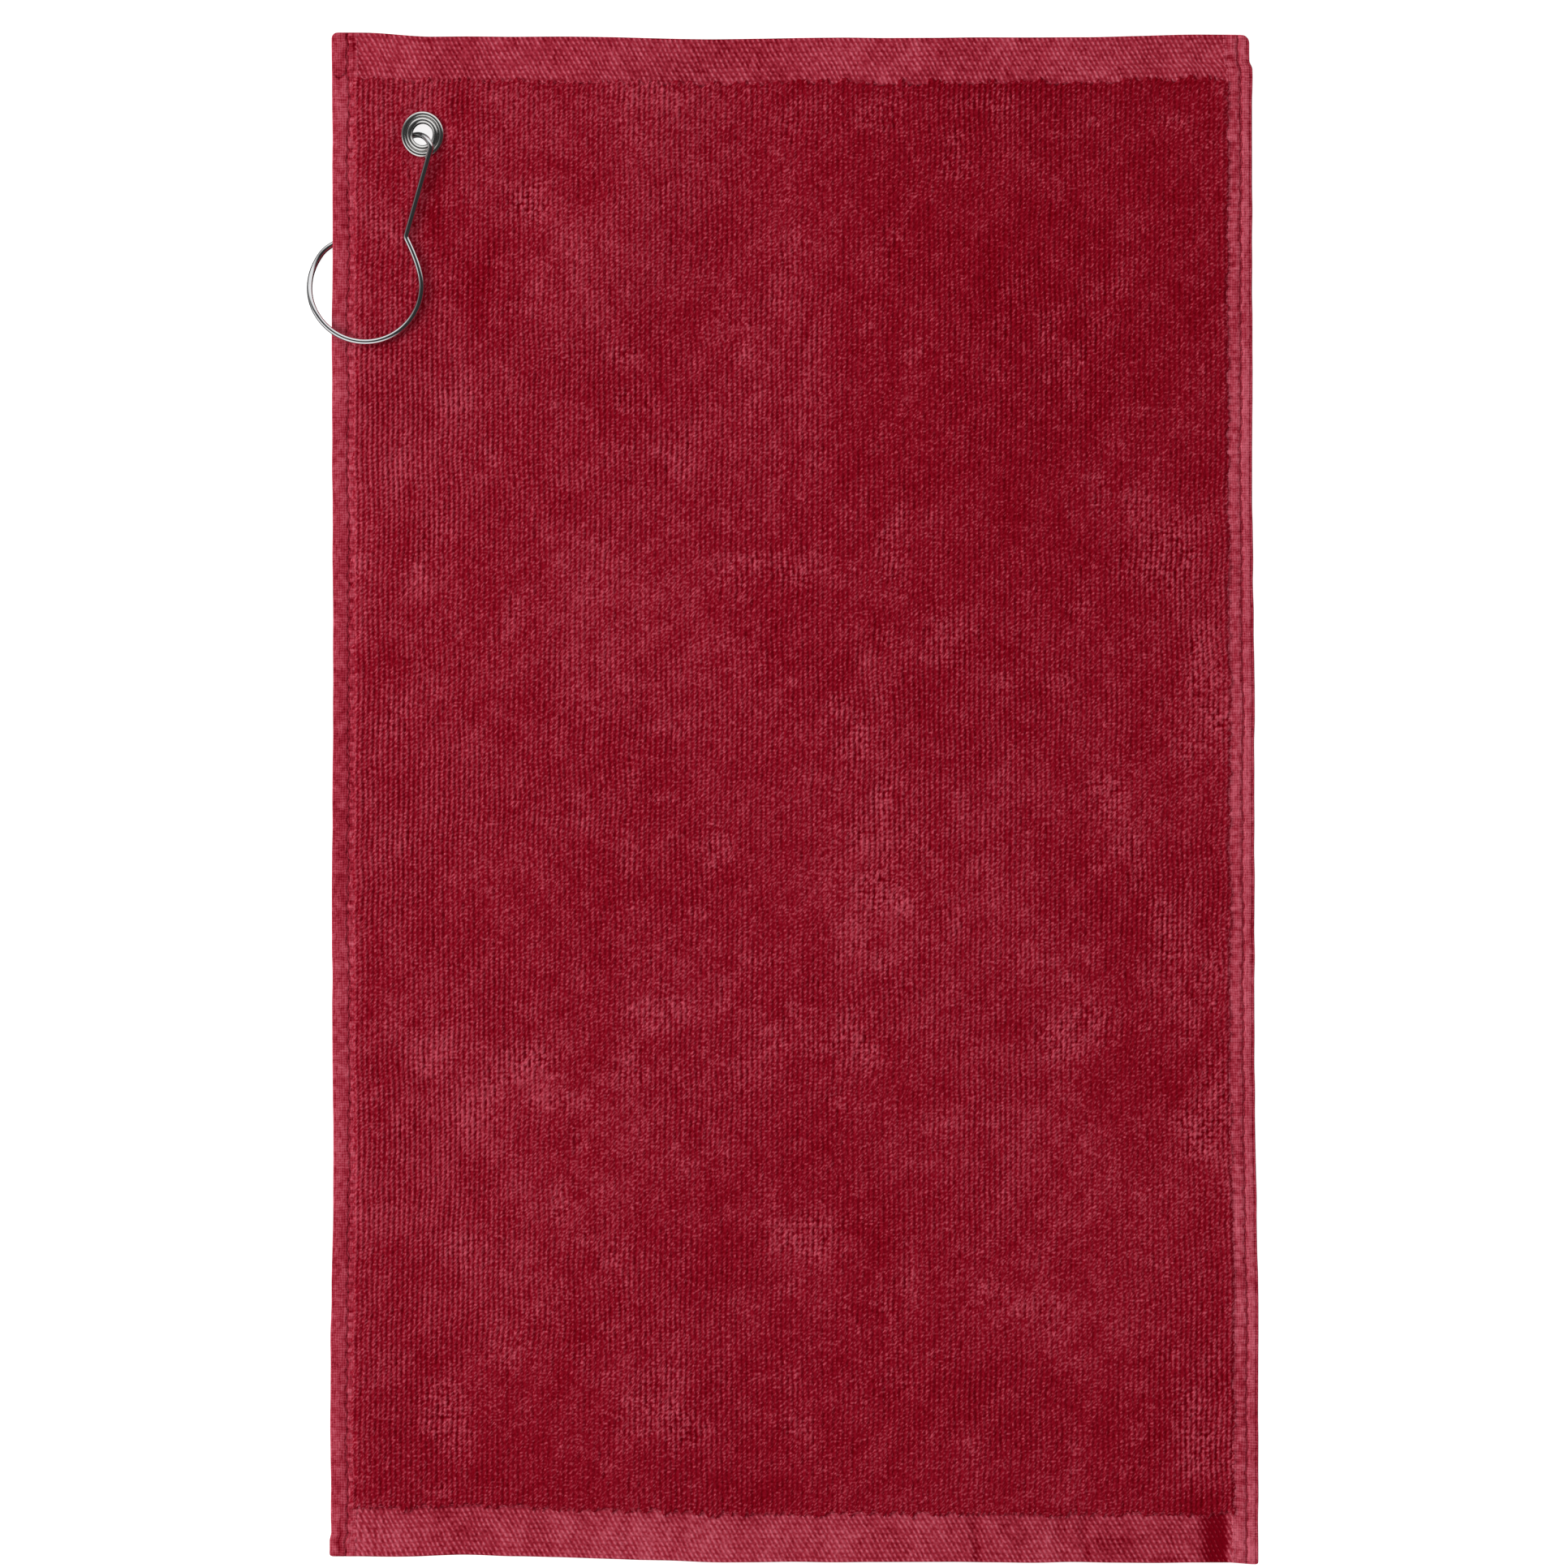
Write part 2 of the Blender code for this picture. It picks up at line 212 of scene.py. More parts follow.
def rise(x, y):
    """How far the cloth stands off the table at this place."""
    away = np.hypot(x - GROMMET_X, y - GROMMET_Y)
    fall = (away - RISE_FLAT_RADIUS) / (RISE_END_RADIUS - RISE_FLAT_RADIUS)
    return CORNER_RISE * (1 - blend(fall))


def settle(x, y):
    """Moves a place on the plain rectangle to the towel's real, uneven outline."""
    to_left, to_right = blend((-x - FADE_X) / FADE_X_LENGTH), blend((x - FADE_X) / FADE_X_LENGTH)
    to_top, to_bottom = blend((y - FADE_Y) / FADE_Y_LENGTH), blend((-y - FADE_Y) / FADE_Y_LENGTH)
    moved_x = x + (left_edge(y) + HALF_WIDTH) * to_left + (right_edge(y) - HALF_WIDTH) * to_right
    moved_y = y + (top_edge(x) - HALF_LENGTH) * to_top + (bottom_edge(x) + HALF_LENGTH) * to_bottom
    return moved_x, moved_y


def swell(x, y):
    """Low, wide waves in the cloth where it lies flat on the table."""
    flat = 1 - rise(x, y) / CORNER_RISE
    return flat * SWELL * (1 + noise(x, y, SWELL_CELL, 15))


def laid(x, y, height):
    """Points of the cloth at rest, from places on the rectangle and heights over its underside."""
    real_x, real_y = settle(x, y)
    real_z = height + rise(real_x, real_y) + swell(real_x, real_y)
    return np.stack([real_x, real_y, real_z], axis=-1)


def from_grommet(x, y):
    """How far a place on the rectangle ends up from the grommet's axis, in x and y."""
    real_x, real_y = settle(x, y)
    return real_x - GROMMET_X, real_y - GROMMET_Y


# ---------------- meshes


def add_object(name, data):
    made = bpy.data.objects.new(name, data)
    bpy.context.scene.collection.objects.link(made)
    return made


def quads(rows, columns, wrap=False, close=False):
    """Faces between the neighbours of a grid of points that is stored row by row. Its rows can wrap
    round, and its last row can join the first."""
    row, column = np.meshgrid(np.arange(rows - 1 + close), np.arange(columns - 1 + wrap), indexing="ij")
    next_row, next_column = (row + 1) % rows, (column + 1) % columns
    corners = [(row, column), (row, next_column), (next_row, next_column), (next_row, column)]
    return np.stack([(r * columns + c).ravel() for r, c in corners], axis=1)


def closed_tube(rings, sides):
    """Blocks of faces for rings of points that follow each other: the wall, and the two ends."""
    first = np.arange(sides)[::-1][None, :]
    last = (rings - 1) * sides + np.arange(sides)[None, :]
    return [quads(rings, sides, wrap=True), first, last]


def make_piece(name, points, blocks, material, shade=None, body="towel"):
    """An object from points in mm and blocks of faces, which rides on a body."""
    sizes = np.concatenate([np.full(len(b), b.shape[1]) for b in blocks])
    mesh = bpy.data.meshes.new(name)
    mesh.vertices.add(len(points))
    mesh.vertices.foreach_set("co", (points * MM).astype(np.float32).ravel())
    mesh.loops.add(int(sizes.sum()))
    corners = np.concatenate([b.ravel() for b in blocks])
    mesh.loops.foreach_set("vertex_index", corners.astype(np.int32))
    mesh.polygons.add(len(sizes))
    mesh.polygons.foreach_set("loop_start", (np.cumsum(sizes) - sizes).astype(np.int32))
    mesh.polygons.foreach_set("use_smooth", np.ones(len(sizes), bool))
    if shade is not None:
        values = mesh.attributes.new("shade", "FLOAT", "POINT")
        values.data.foreach_set("value", shade.astype(np.float32).ravel())
    mesh.update(calc_edges=True)
    mesh.validate()
    mesh.materials.append(material)
    piece = add_object(name, mesh)
    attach(piece, body)
    return piece


# A wire's rounded end: how far beyond the route each ring of points is, and its size, both in radii
ROUNDED_END = [(0.25, 0.9), (0.55, 0.62), (0.75, 0.3)]
# Any direction in which no wire starts, from which its first ring is turned
ASKEW = (0.31, 0.17, 0.93)


def tube(route, radius, sides):
    """Points and faces of a round wire along a route, with rounded ends."""
    route = np.asarray(route, float)
    way = np.gradient(route, axis=0)
    way /= np.linalg.norm(way, axis=1)[:, None]
    centres, ways, sizes = list(route), list(way), [1.0] * len(route)
    for beyond, size in ROUNDED_END:
        reach = beyond * radius
        centres = [route[0] - way[0] * reach, *centres, route[-1] + way[-1] * reach]
        ways = [way[0], *ways, way[-1]]
        sizes = [size, *sizes, size]
    normal = np.cross(way[0], ASKEW)
    turn = np.arange(sides) * math.tau / sides
    rings = []
    for centre, forward, size in zip(centres, ways, sizes):
        normal = normal - forward * np.dot(normal, forward)
        normal /= np.linalg.norm(normal)
        side = np.cross(forward, normal)
        circle = np.outer(np.cos(turn), normal) + np.outer(np.sin(turn), side)
        rings.append(centre + circle * radius * size)
    return np.concatenate(rings), closed_tube(len(rings), sides)


def joined(parts):
    """Several (points, blocks) as one."""
    points, blocks, start = [], [], 0
    for part_points, part_blocks in parts:
        points.append(part_points)
        blocks += [b + start for b in part_blocks]
        start += len(part_points)
    return np.concatenate(points), blocks


# ---------------- materials


def link(tree, source, target):
    tree.links.new(source, target)


def new_material(name):
    material = bpy.data.materials.new(name)
    material.use_nodes = True
    tree = material.node_tree
    return material, tree, tree.nodes["Principled BSDF"]


def set_inputs(node, values):
    for name, value in values.items():
        node.inputs[name].default_value = value


def noise_node(tree, size_mm, detail):
    """Noise in the material whose lumps are about that many mm across."""
    place = tree.nodes.new("ShaderNodeTexCoord")
    texture = tree.nodes.new("ShaderNodeTexNoise")
    set_inputs(texture, {"Scale": 1 / (size_mm * MM), "Detail": detail})
    link(tree, place.outputs["Object"], texture.inputs["Vector"])
    return texture.outputs["Fac"]


def math_node(tree, operation, *values):
    """The result of a sum on numbers or on other nodes' results."""
    node = tree.nodes.new("ShaderNodeMath")
    node.operation = operation
    for socket, value in zip(node.inputs, values):
        if isinstance(value, (int, float)):
            socket.default_value = value
        else:
            link(tree, value, socket)
    return node.outputs[0]


def add_bump(tree, shader, height, bump_mm):
    bump = tree.nodes.new("ShaderNodeBump")
    bump.inputs["Distance"].default_value = bump_mm * MM
    link(tree, height, bump.inputs["Height"])
    link(tree, bump.outputs["Normal"], shader.inputs["Normal"])


FIBRE_DETAIL = 3
MIDDLE_STOP = 0.4
CLOTH_SPECULAR = 0.02
SHEEN_ROUGHNESS = 0.4
SHEEN_TINT = (1.0, 0.35, 0.4, 1)


def fabric(name, stops, fibre_mm, fibre_share, bump_mm, sheen, roughness=0.9):
    """Dyed cotton. The shade attribute picks from the stops, from painted shade in deep folds to light
    tips.
    """
    material, tree, shader = new_material(name)
    shade = tree.nodes.new("ShaderNodeAttribute")
    shade.attribute_name = "shade"
    fibres = noise_node(tree, fibre_mm, FIBRE_DETAIL)
    fine = math_node(tree, "MULTIPLY_ADD", fibres, 2 * fibre_share, -fibre_share)
    factor = math_node(tree, "ADD", shade.outputs["Fac"], fine)
    ramp = tree.nodes.new("ShaderNodeValToRGB")
    ramp.color_ramp.elements.new(MIDDLE_STOP)
    for element, colour in zip(ramp.color_ramp.elements, stops):
        element.color = (*colour, 1)
    link(tree, factor, ramp.inputs["Fac"])
    link(tree, ramp.outputs["Color"], shader.inputs["Base Color"])
    add_bump(tree, shader, fibres, bump_mm)
    set_inputs(shader, {"Roughness": roughness, "Specular IOR Level": CLOTH_SPECULAR})
    set_inputs(shader, {"Sheen Weight": sheen, "Sheen Roughness": SHEEN_ROUGHNESS})
    set_inputs(shader, {"Sheen Tint": SHEEN_TINT})
    return material


TARNISH_MM, TARNISH_DETAIL = 2.4, 3
GRAIN_DETAIL = 4


def metal(name, colour, dull, roughness, spread, grain_mm, bump_mm):
    """Plated metal, with a faint tarnish and a fine grain."""
    material, tree, shader = new_material(name)
    patches = noise_node(tree, TARNISH_MM, TARNISH_DETAIL)
    grain = noise_node(tree, grain_mm, GRAIN_DETAIL)
    mixed = tree.nodes.new("ShaderNodeMix")
    mixed.data_type = "RGBA"
    set_inputs(mixed, {"A": (*colour, 1), "B": (*dull, 1)})
    link(tree, patches, mixed.inputs["Factor"])
    link(tree, mixed.outputs["Result"], shader.inputs["Base Color"])
    rough = math_node(tree, "MULTIPLY_ADD", patches, 2 * spread, roughness - spread)
    link(tree, rough, shader.inputs["Roughness"])
    add_bump(tree, shader, grain, bump_mm)
    shader.inputs["Metallic"].default_value = 1
    return material


# Colours of the cloth from painted shade in deep folds, at half height and on the lighter tips
PILE_STOPS = [(0.138, 0.0001, 0.0032), (0.210, 0.0034, 0.0122), (0.444, 0.060, 0.091)]
WEAVE_STOPS = [(0.148, 0.0003, 0.0052), (0.298, 0.0195, 0.037), (0.520, 0.102, 0.143)]
NICKEL, DULL_NICKEL = (0.80, 0.79, 0.78), (0.62, 0.60, 0.58)
STEEL, DULL_STEEL = (0.78, 0.78, 0.79), (0.64, 0.64, 0.65)

pile_red = fabric("velour_red", PILE_STOPS, fibre_mm=0.45, fibre_share=0.22, bump_mm=0.10, sheen=0.02)
loop_red = fabric("terry_red", PILE_STOPS, fibre_mm=0.45, fibre_share=0.22, bump_mm=0.15, sheen=0.02)
border_red = fabric(
    "border_weave_red", WEAVE_STOPS, fibre_mm=0.28, fibre_share=0.16, bump_mm=0.05, sheen=0.03
)
hem_red = fabric("hem_weave_red", WEAVE_STOPS, fibre_mm=0.24, fibre_share=0.16, bump_mm=0.05, sheen=0.03)
thread_red = fabric(
    "thread_red", WEAVE_STOPS, fibre_mm=0.15, fibre_share=0.15, bump_mm=0.04, sheen=0.02, roughness=0.6
)
nickel = metal("nickel", NICKEL, DULL_NICKEL, roughness=0.2, spread=0.06, grain_mm=0.5, bump_mm=0.01)
steel = metal("steel_wire", STEEL, DULL_STEEL, roughness=0.14, spread=0.04, grain_mm=0.9, bump_mm=0.006)

# ---------------- camera, light and floor

VIEW_CENTRE = (-2.7, 3.9)
VIEW_WIDTH = 471.2
CAMERA_HEIGHT = 1500.0
SENSOR = 36.0
NEAREST_M, FARTHEST_M = 0.1, 20

# Each softbox: name, place and size in metres, and power in watts
SOFTBOXES = [
    ("key_left", (-1.7, 0.35, 0.95), (1.3, 0.7), 30),
    ("front", (0.15, -1.15, 1.5), (1.3, 0.45), 7),
    ("back", (-0.15, 1.25, 1.4), (1.3, 0.45), 7),
]

# The studio that the metal mirrors, by direction: the way across its dark strip, how fast it gets light
# on both sides of it, how much more so behind and to the left, and where dark ends and full light starts
ACROSS_STRIP = (0.34, 0.94)
LIGHTEN, LIGHTER_BEHIND, LIGHTER_RIGHT = 2.2, 0.25, -0.42
DARK_TO, LIGHT_FROM = 0.28, 0.80
DARK, LIGHT = 0.03, 1.0
STRENGTH = 1.1
# Below its horizon it gets dark over a short way
HORIZON_SLOPE, HORIZON_LEVEL, BELOW_LEVEL = 8.0, 0.3, 0.12

FLOOR_HALF = 4000.0
FLOOR_DEPTH = 0.1
FLOOR_GREY = (0.45, 0.45, 0.45, 1)
FLOOR_GLOW = 0.85
WHITE = (1, 1, 1, 1)


def add_camera():
    data = bpy.data.cameras.new("camera")
    data.sensor_width = SENSOR
    data.lens = SENSOR * (CAMERA_HEIGHT - PILE_TOP) / VIEW_WIDTH
    data.clip_start = NEAREST_M
    data.clip_end = FARTHEST_M
    camera = add_object("camera", data)
    camera.location = (VIEW_CENTRE[0] * MM, VIEW_CENTRE[1] * MM, CAMERA_HEIGHT * MM)
    bpy.context.scene.camera = camera


def add_softbox(name, place, size, power):
    """An area light that points at the towel, and doesn't show in the metal."""
    data = bpy.data.lights.new(name, "AREA")
    data.shape = "RECTANGLE"
    data.size, data.size_y = size
    data.energy = power
    light = add_object(name, data)
    light.location = place
    x, y, z = place
    light.rotation_euler = (math.atan2(math.hypot(x, y), z), 0, math.atan2(y, x) + math.pi / 2)
    light.visible_glossy = False


def add_surroundings():
    """A plain studio for the metal to mirror: light in front and behind, with a dark strip overhead from
    the upper left to the lower right."""
    world = bpy.data.worlds.new("studio")
    world.use_nodes = True
    bpy.context.scene.world = world
    tree = world.node_tree
    place = tree.nodes.new("ShaderNodeTexCoord")
    parts = tree.nodes.new("ShaderNodeSeparateXYZ")
    link(tree, place.outputs["Generated"], parts.inputs["Vector"])
    x, y, z = parts.outputs
    across = math_node(tree, "MULTIPLY", x, ACROSS_STRIP[0])
    across = math_node(tree, "MULTIPLY_ADD", y, ACROSS_STRIP[1], across)
    square = math_node(tree, "MULTIPLY", across, across)
    lit = math_node(tree, "MULTIPLY", across, LIGHTER_BEHIND)
    lit = math_node(tree, "MULTIPLY_ADD", square, LIGHTEN, lit)
    lit = math_node(tree, "MULTIPLY_ADD", x, LIGHTER_RIGHT, lit)
    ramp = tree.nodes.new("ShaderNodeValToRGB")
    for element, position, grey in zip(ramp.color_ramp.elements, (DARK_TO, LIGHT_FROM), (DARK, LIGHT)):
        element.position = position
        element.color = (grey, grey, grey, 1)
    link(tree, lit, ramp.inputs["Fac"])
    background = tree.nodes["Background"]
    link(tree, ramp.outputs["Color"], background.inputs["Color"])
    above = math_node(tree, "MULTIPLY_ADD", z, HORIZON_SLOPE, HORIZON_LEVEL)
    above = math_node(tree, "MINIMUM", above, 1.0)
    above = math_node(tree, "MAXIMUM", above, BELOW_LEVEL)
    level = math_node(tree, "MULTIPLY", above, STRENGTH)
    link(tree, level, background.inputs["Strength"])

    # What stands behind the floor is plain white.
    plain = tree.nodes.new("ShaderNodeBackground")
    plain.inputs["Color"].default_value = WHITE
    chosen = tree.nodes.new("ShaderNodeMixShader")
    seen = tree.nodes.new("ShaderNodeLightPath").outputs["Is Camera Ray"]
    link(tree, seen, chosen.inputs["Fac"])
    link(tree, background.outputs["Background"], chosen.inputs[1])
    link(tree, plain.outputs["Background"], chosen.inputs[2])
    link(tree, chosen.outputs["Shader"], tree.nodes["World Output"].inputs["Surface"])


def add_floor():
    """A plain white floor, which glows a little so that it stays white around the towel."""
    corners = [(-1, -1), (1, -1), (1, 1), (-1, 1)]
    points = [(x * FLOOR_HALF * MM, y * FLOOR_HALF * MM, -FLOOR_DEPTH * MM) for x, y in corners]
    mesh = bpy.data.meshes.new("floor")
    mesh.from_pydata(points, [], [(0, 1, 2, 3)])
    floor = add_object("floor", mesh)
    material, _, shader = new_material("floor_white")
    set_inputs(shader, {"Base Color": FLOOR_GREY, "Roughness": 1, "Specular IOR Level": 0})
    set_inputs(shader, {"Emission Color": WHITE, "Emission Strength": FLOOR_GLOW})
    mesh.materials.append(material)
    floor.visible_glossy = False


bpy.context.scene.view_settings.view_transform = "Standard"
add_camera()
for softbox in SOFTBOXES:
    add_softbox(*softbox)
add_surroundings()
add_floor()

# ---------------- pile and ground cloth

TOP_UNEVEN = 0.07


def lattice(x, y, stretch, jitter, seed):
    """Round tops of tufts on an uneven lattice: about 0 at the top of each, and less around it."""
    random = np.random.default_rng(seed)
    shift_u, shift_v, top = random.uniform(-1, 1, (3, NOISE_SIZE, NOISE_SIZE))
    u, v = x / RIB_PITCH, y / TUFT_PITCH
    column, row = np.floor(u).astype(int), np.floor(v).astype(int)
    best = np.full(np.shape(u), -np.inf)
    for across in (-1, 0, 1):
        for along in (-1, 0, 1):
            c, r = column + across, row + along
            key = (c % NOISE_SIZE, r % NOISE_SIZE)
            du = u - (c + 0.5 + jitter * shift_u[key])
            dv = (v - (r + 0.5 + jitter * shift_v[key])) * stretch
            best = np.maximum(best, TOP_UNEVEN * top[key] - du * du - dv * dv)
    return best


# Where the pile has been crushed and its tufts stand apart: centre, and half width and length
CRUSHED = [
    (32, 74, 4, 17),
    (-5, 72, 16, 6),
    (27, -2, 6, 10),
    (24, -32, 12, 7),
    (18, -75, 8, 8),
    (-79, -79, 12, 7),
    (6, -131, 12, 11),
    (84, -68, 13, 10),
    (93, 0, 8, 10),
    (114, 74, 15, 14),
    (124, 35, 9, 24),
    (112, -43, 7, 19),
    (90, 93, 6, 6),
    (125, -94, 10, 18),
    (-104, -187, 9, 14),
    (-36, -189, 10, 7),
    (124, -189, 11, 20),
    (-82, 181, 7, 7),
]
# A patch is fully crushed to this share of its half width, and fades over this much more
CRUSHED_CORE, CRUSHED_FADE = 0.35, 0.9


def crushing(x, y):
    """From 0 on smooth velour to 1 where it is crushed."""
    warped_x = x + 5 * noise(x, y, 11, 21)
    warped_y = y + 6 * noise(x, y, 13, 22)
    crushed = np.zeros(np.shape(x))
    for cx, cy, rx, ry in CRUSHED:
        away = np.hypot((warped_x - cx) / rx, (warped_y - cy) / ry)
        crushed = np.maximum(crushed, 1 - blend((away - CRUSHED_CORE) / CRUSHED_FADE))
    broken = mix(0.44, 1.0, 0.5 + 0.5 * noise(x, y, 4, 25))
    scattered = blend((noise(x, y, 7, 23) + noise(x, y, 17, 24) - 0.55) / 0.7)
    return np.maximum(crushed * broken, 0.5 * scattered)


# Patches of painted shade beside the clip's arm, by the grommet and in the fold at the bottom right:
# centre, half width and length, and how much
PAINTED_SHADE_PATCHES = [
    (-108, 177, 3.5, 10, 1.6),
    (-94.5, 153, 5, 9, 1.3),
    (-99, 206, 8, 6, 1.0),
    (121, -212, 8, 5, 1.5),
]
# Where the pile ends, and how far its ragged ends reach in and out
PILE_LEFT, PILE_RIGHT, PILE_BOTTOM, PILE_END = -133.3, 132.4, -215.2, 216.5
SIDE_REACH, END_REACH = 0.9, 1.7
PILE_OVERLAP = 1.8
END_SLOPE = 1.4


def tone(x, y):
    """How light the velour is over wide areas, around 0, with painted shade in patches and under the top
    border.
    """
    wide = 0.27 * noise(x, y, 55, 31) + 0.33 * noise(x, y, 21, 32) + 0.21 * noise(x, y, 8, 33)
    lighter_left = 0.45 * blend((40 - x) / 130) * blend((y + 210) / 120)
    darker_upper_right = 0.5 * blend((x + 20) / 60) * blend((y - 60) / 60)
    darker_low_right = 0.4 * blend((x + 60) / 60) * blend((-150 - y) / 30)
    # Painted shade beside the clip's arm, by the grommet and in the bottom fold.
    patch_shade = np.zeros(np.shape(x))
    for cx, cy, rx, ry, depth in PAINTED_SHADE_PATCHES:
        patch_shade = patch_shade + depth * np.exp(-(((x - cx) / rx) ** 2) - ((y - cy) / ry) ** 2)
    # Painted shade along the pile's top end, where it runs in under the border.
    border_edge_shade = 0.6 * np.exp(-(((y - PILE_END) / 4) ** 2))
    by_hem = np.exp((PILE_LEFT - x) / 3) + 0.5 * np.exp((x - PILE_RIGHT) / 2)
    light = wide + lighter_left + 0.9 * np.clip(by_hem, 0, 1)
    return light - darker_upper_right - darker_low_right - patch_shade - border_edge_shade


def ragged(distance, along, reach, seed):
    """The pile's uneven end: 0 at its edge and 1 from about a millimetre inside it."""
    uneven = 0.55 * noise(along, 0, 0.8, seed) + 0.45 * noise(along, 0, 3, seed + 1)
    return blend((distance + reach * uneven) / END_SLOPE)


def pile_end(x, y):
    """From 0 outside the pile to 1 well inside it."""
    inside = ragged(x - PILE_LEFT, y, SIDE_REACH, 41) * ragged(PILE_RIGHT - x, y, SIDE_REACH, 43)
    inside = inside * ragged(PILE_END - y, x, END_REACH, 45)
    return inside * ragged(y - PILE_BOTTOM, x, END_REACH, 47)


PUCKER_HEIGHT, PUCKERS_ROUND = 0.22, 7
PUCKER_RADIUS, PUCKER_REACH = 10.5, 5


def pinched(x, y, height, pressed):
    """Presses the cloth's height at the grommet, and gathers it into small puckers around it."""
    dx, dy = from_grommet(x, y)
    away = np.hypot(dx, dy)
    turn = np.arctan2(dy, dx)
    free = blend((away - PINCH_RADIUS) / PINCH_EASE)
    wave = np.sin(PUCKERS_ROUND * turn + 2 * np.sin(turn + 1))
    puckers = PUCKER_HEIGHT * wave * mound((away - PUCKER_RADIUS) / PUCKER_REACH)
    return mix(pressed, height + puckers, free)


def flecks(x, y):
    """Small tufts that stand out light, in loose groups."""
    tufts = blend((noise(x, y, 1.1, 101) - 0.55) / 0.25)
    return tufts * blend((noise(x, y, 12, 102) - 0.1) / 0.4)


# How deep the pile's parts are in mm, and how much lighter or darker each makes the velour
TUFT_JITTER = 0.17
TUFT_STRETCH = 0.55
TUFT_DEPTH, CRUSHED_DEPTH = 1.0, 1.6
CRUSHED_DROP = 0.12
YARN_MM, YARN_HEIGHT, YARN_SHADE = 0.78, 0.06, 0.03
WAVE_HEIGHT = 0.12
PRESSED_PILE = 2.0
VELOUR_SHADE = 0.328
TIP_LEVEL = 0.6
TIP_SHADE = 0.18
GRAIN_SHADE = 0.26
TONE_SHADE = 0.15
MOTTLE_SHADE = 0.055
PILE_END_SHADE = 0.20
FLECK_SHADE = 0.22
CRUSHED_SHEEN_SHADE, CRUSHED_TIP_SHEEN, SPECK_GLINT_SHADE = 0.09, 0.62, 0.6


def velour(x, y, columns):
    """The velour's height over the cloth's underside, and its shade, on a grid of that many columns."""
    crushed = crushing(x, y)
    wavy_x = x + 0.42 * noise(x * 0.5, y, 13, 51) + 0.15 * noise(x, y * 0.6, 3.2, 52)
    wavy_y = y + 0.4 * noise(x, y, 3.6, 53)
    stretch = mix(TUFT_STRETCH, 1.0, crushed)
    domes = lattice(wavy_x, wavy_y, stretch, TUFT_JITTER, 54)
    yarns = noise(x, y, YARN_MM, 55)
    ribbing = 0.07 + 0.05 * noise(x, y, 30, 68) + 0.05 * blend((-70 - x) / 50)
    ribs = ribbing * np.cos(math.tau * wavy_x / RIB_PITCH - math.pi)
    height = PILE_TOP + mix(TUFT_DEPTH, CRUSHED_DEPTH, crushed) * domes + YARN_HEIGHT * yarns
    height = height + ribs - CRUSHED_DROP * crushed + WAVE_HEIGHT * noise(x, y, 5, 56)
    inside = pile_end(x, y)
    height = pinched(x, y, mix(PILE_FOOT, height, inside), PRESSED_PILE)

    # Tuft tops are painted lighter and gaps darker: partly paler fibre ends, partly painted shade in
    # gaps.
    tip = np.clip(1 + 2.4 * domes, 0, 1) - TIP_LEVEL
    fine = np.random.default_rng(57).normal(0, 1, len(x))
    # Each point tends to differ from the one below it.
    grain = np.maximum(fine - 0.4 * np.roll(fine, columns), -0.8)
    mottle = 0.5 * noise(x, y, 2.2, 58) + 1.3 * noise(x, y, 5, 59)
    glint_specks = np.clip(np.random.default_rng(60).normal(0, 1, len(x)) - 0.7, 0, 2)
    shade = VELOUR_SHADE + TIP_SHADE * tip + YARN_SHADE * yarns + GRAIN_SHADE * grain
    # The ribs' height is also added to the shade: painted shade in the grooves between ribs.
    shade = shade + TONE_SHADE * tone(x, y) + MOTTLE_SHADE * mottle + ribs
    # Crushed pile is painted lighter, with lighter tips and light specks: painted sheen and glints.
    shade = shade + crushed * (CRUSHED_SHEEN_SHADE + CRUSHED_TIP_SHEEN * tip + SPECK_GLINT_SHADE * glint_specks)
    # The pile's ragged end is painted lighter: partly to meet the hems, partly painted light over its
    # edge shadow.
    shade = shade + PILE_END_SHADE * (1 - inside) + FLECK_SHADE * flecks(x, y)
    return height, shade


def cell_lines(low, high, cell):
    """Evenly spaced lines from low to high, about a cell apart."""
    return np.linspace(low, high, round((high - low) / cell) + 1)


def tuft_lines(left, right, bottom, top, cells):
    """Grid lines between these places, with that many cells to a tuft."""
    x_lines = cell_lines(left, right, RIB_PITCH / cells * COARSE)
    return x_lines, cell_lines(bottom, top, TUFT_PITCH / cells * COARSE)


def sheet_of(x_lines, y_lines):
    """A grid over the cloth with a round hole for the grommet: its places, and its faces."""
    y, x = np.meshgrid(y_lines, x_lines, indexing="ij")
    x, y = x.ravel(), y.ravel()
    faces = quads(len(y_lines), len(x_lines))
    away = np.hypot(*from_grommet(x, y))
    return x, y, faces[(away[faces] > CLOTH_HOLE).all(axis=1)]


def add_layer(name, points, faces, material, shade):
    """A layer of the cloth, without the points that no face uses."""
    used, faces_now = np.unique(faces, return_inverse=True)
    faces_now = faces_now.reshape(faces.shape)
    return make_piece(name, points[used], [faces_now], material, shade[used])


VELOUR_CELLS = 4
LOOP_CELLS = 2


def add_velour():
    left, right = PILE_LEFT - PILE_OVERLAP, PILE_RIGHT + PILE_OVERLAP
    bottom, top = PILE_BOTTOM - PILE_OVERLAP, PILE_END + PILE_OVERLAP
    x_lines, y_lines = tuft_lines(left, right, bottom, top, VELOUR_CELLS)
    x, y, faces = sheet_of(x_lines, y_lines)
    height, shade = velour(x, y, len(x_lines))
    return add_layer("velour_pile", laid(x, y, height), faces, pile_red, shade)


# The back: its loops' foot and lowest place, where they are pressed, and where they end
LOOP_FOOT, LOOP_LOWEST, PRESSED_LOOPS = 1.3, 0.05, 1.42
LOOP_JITTER = 0.34
LOOP_END = 1.2


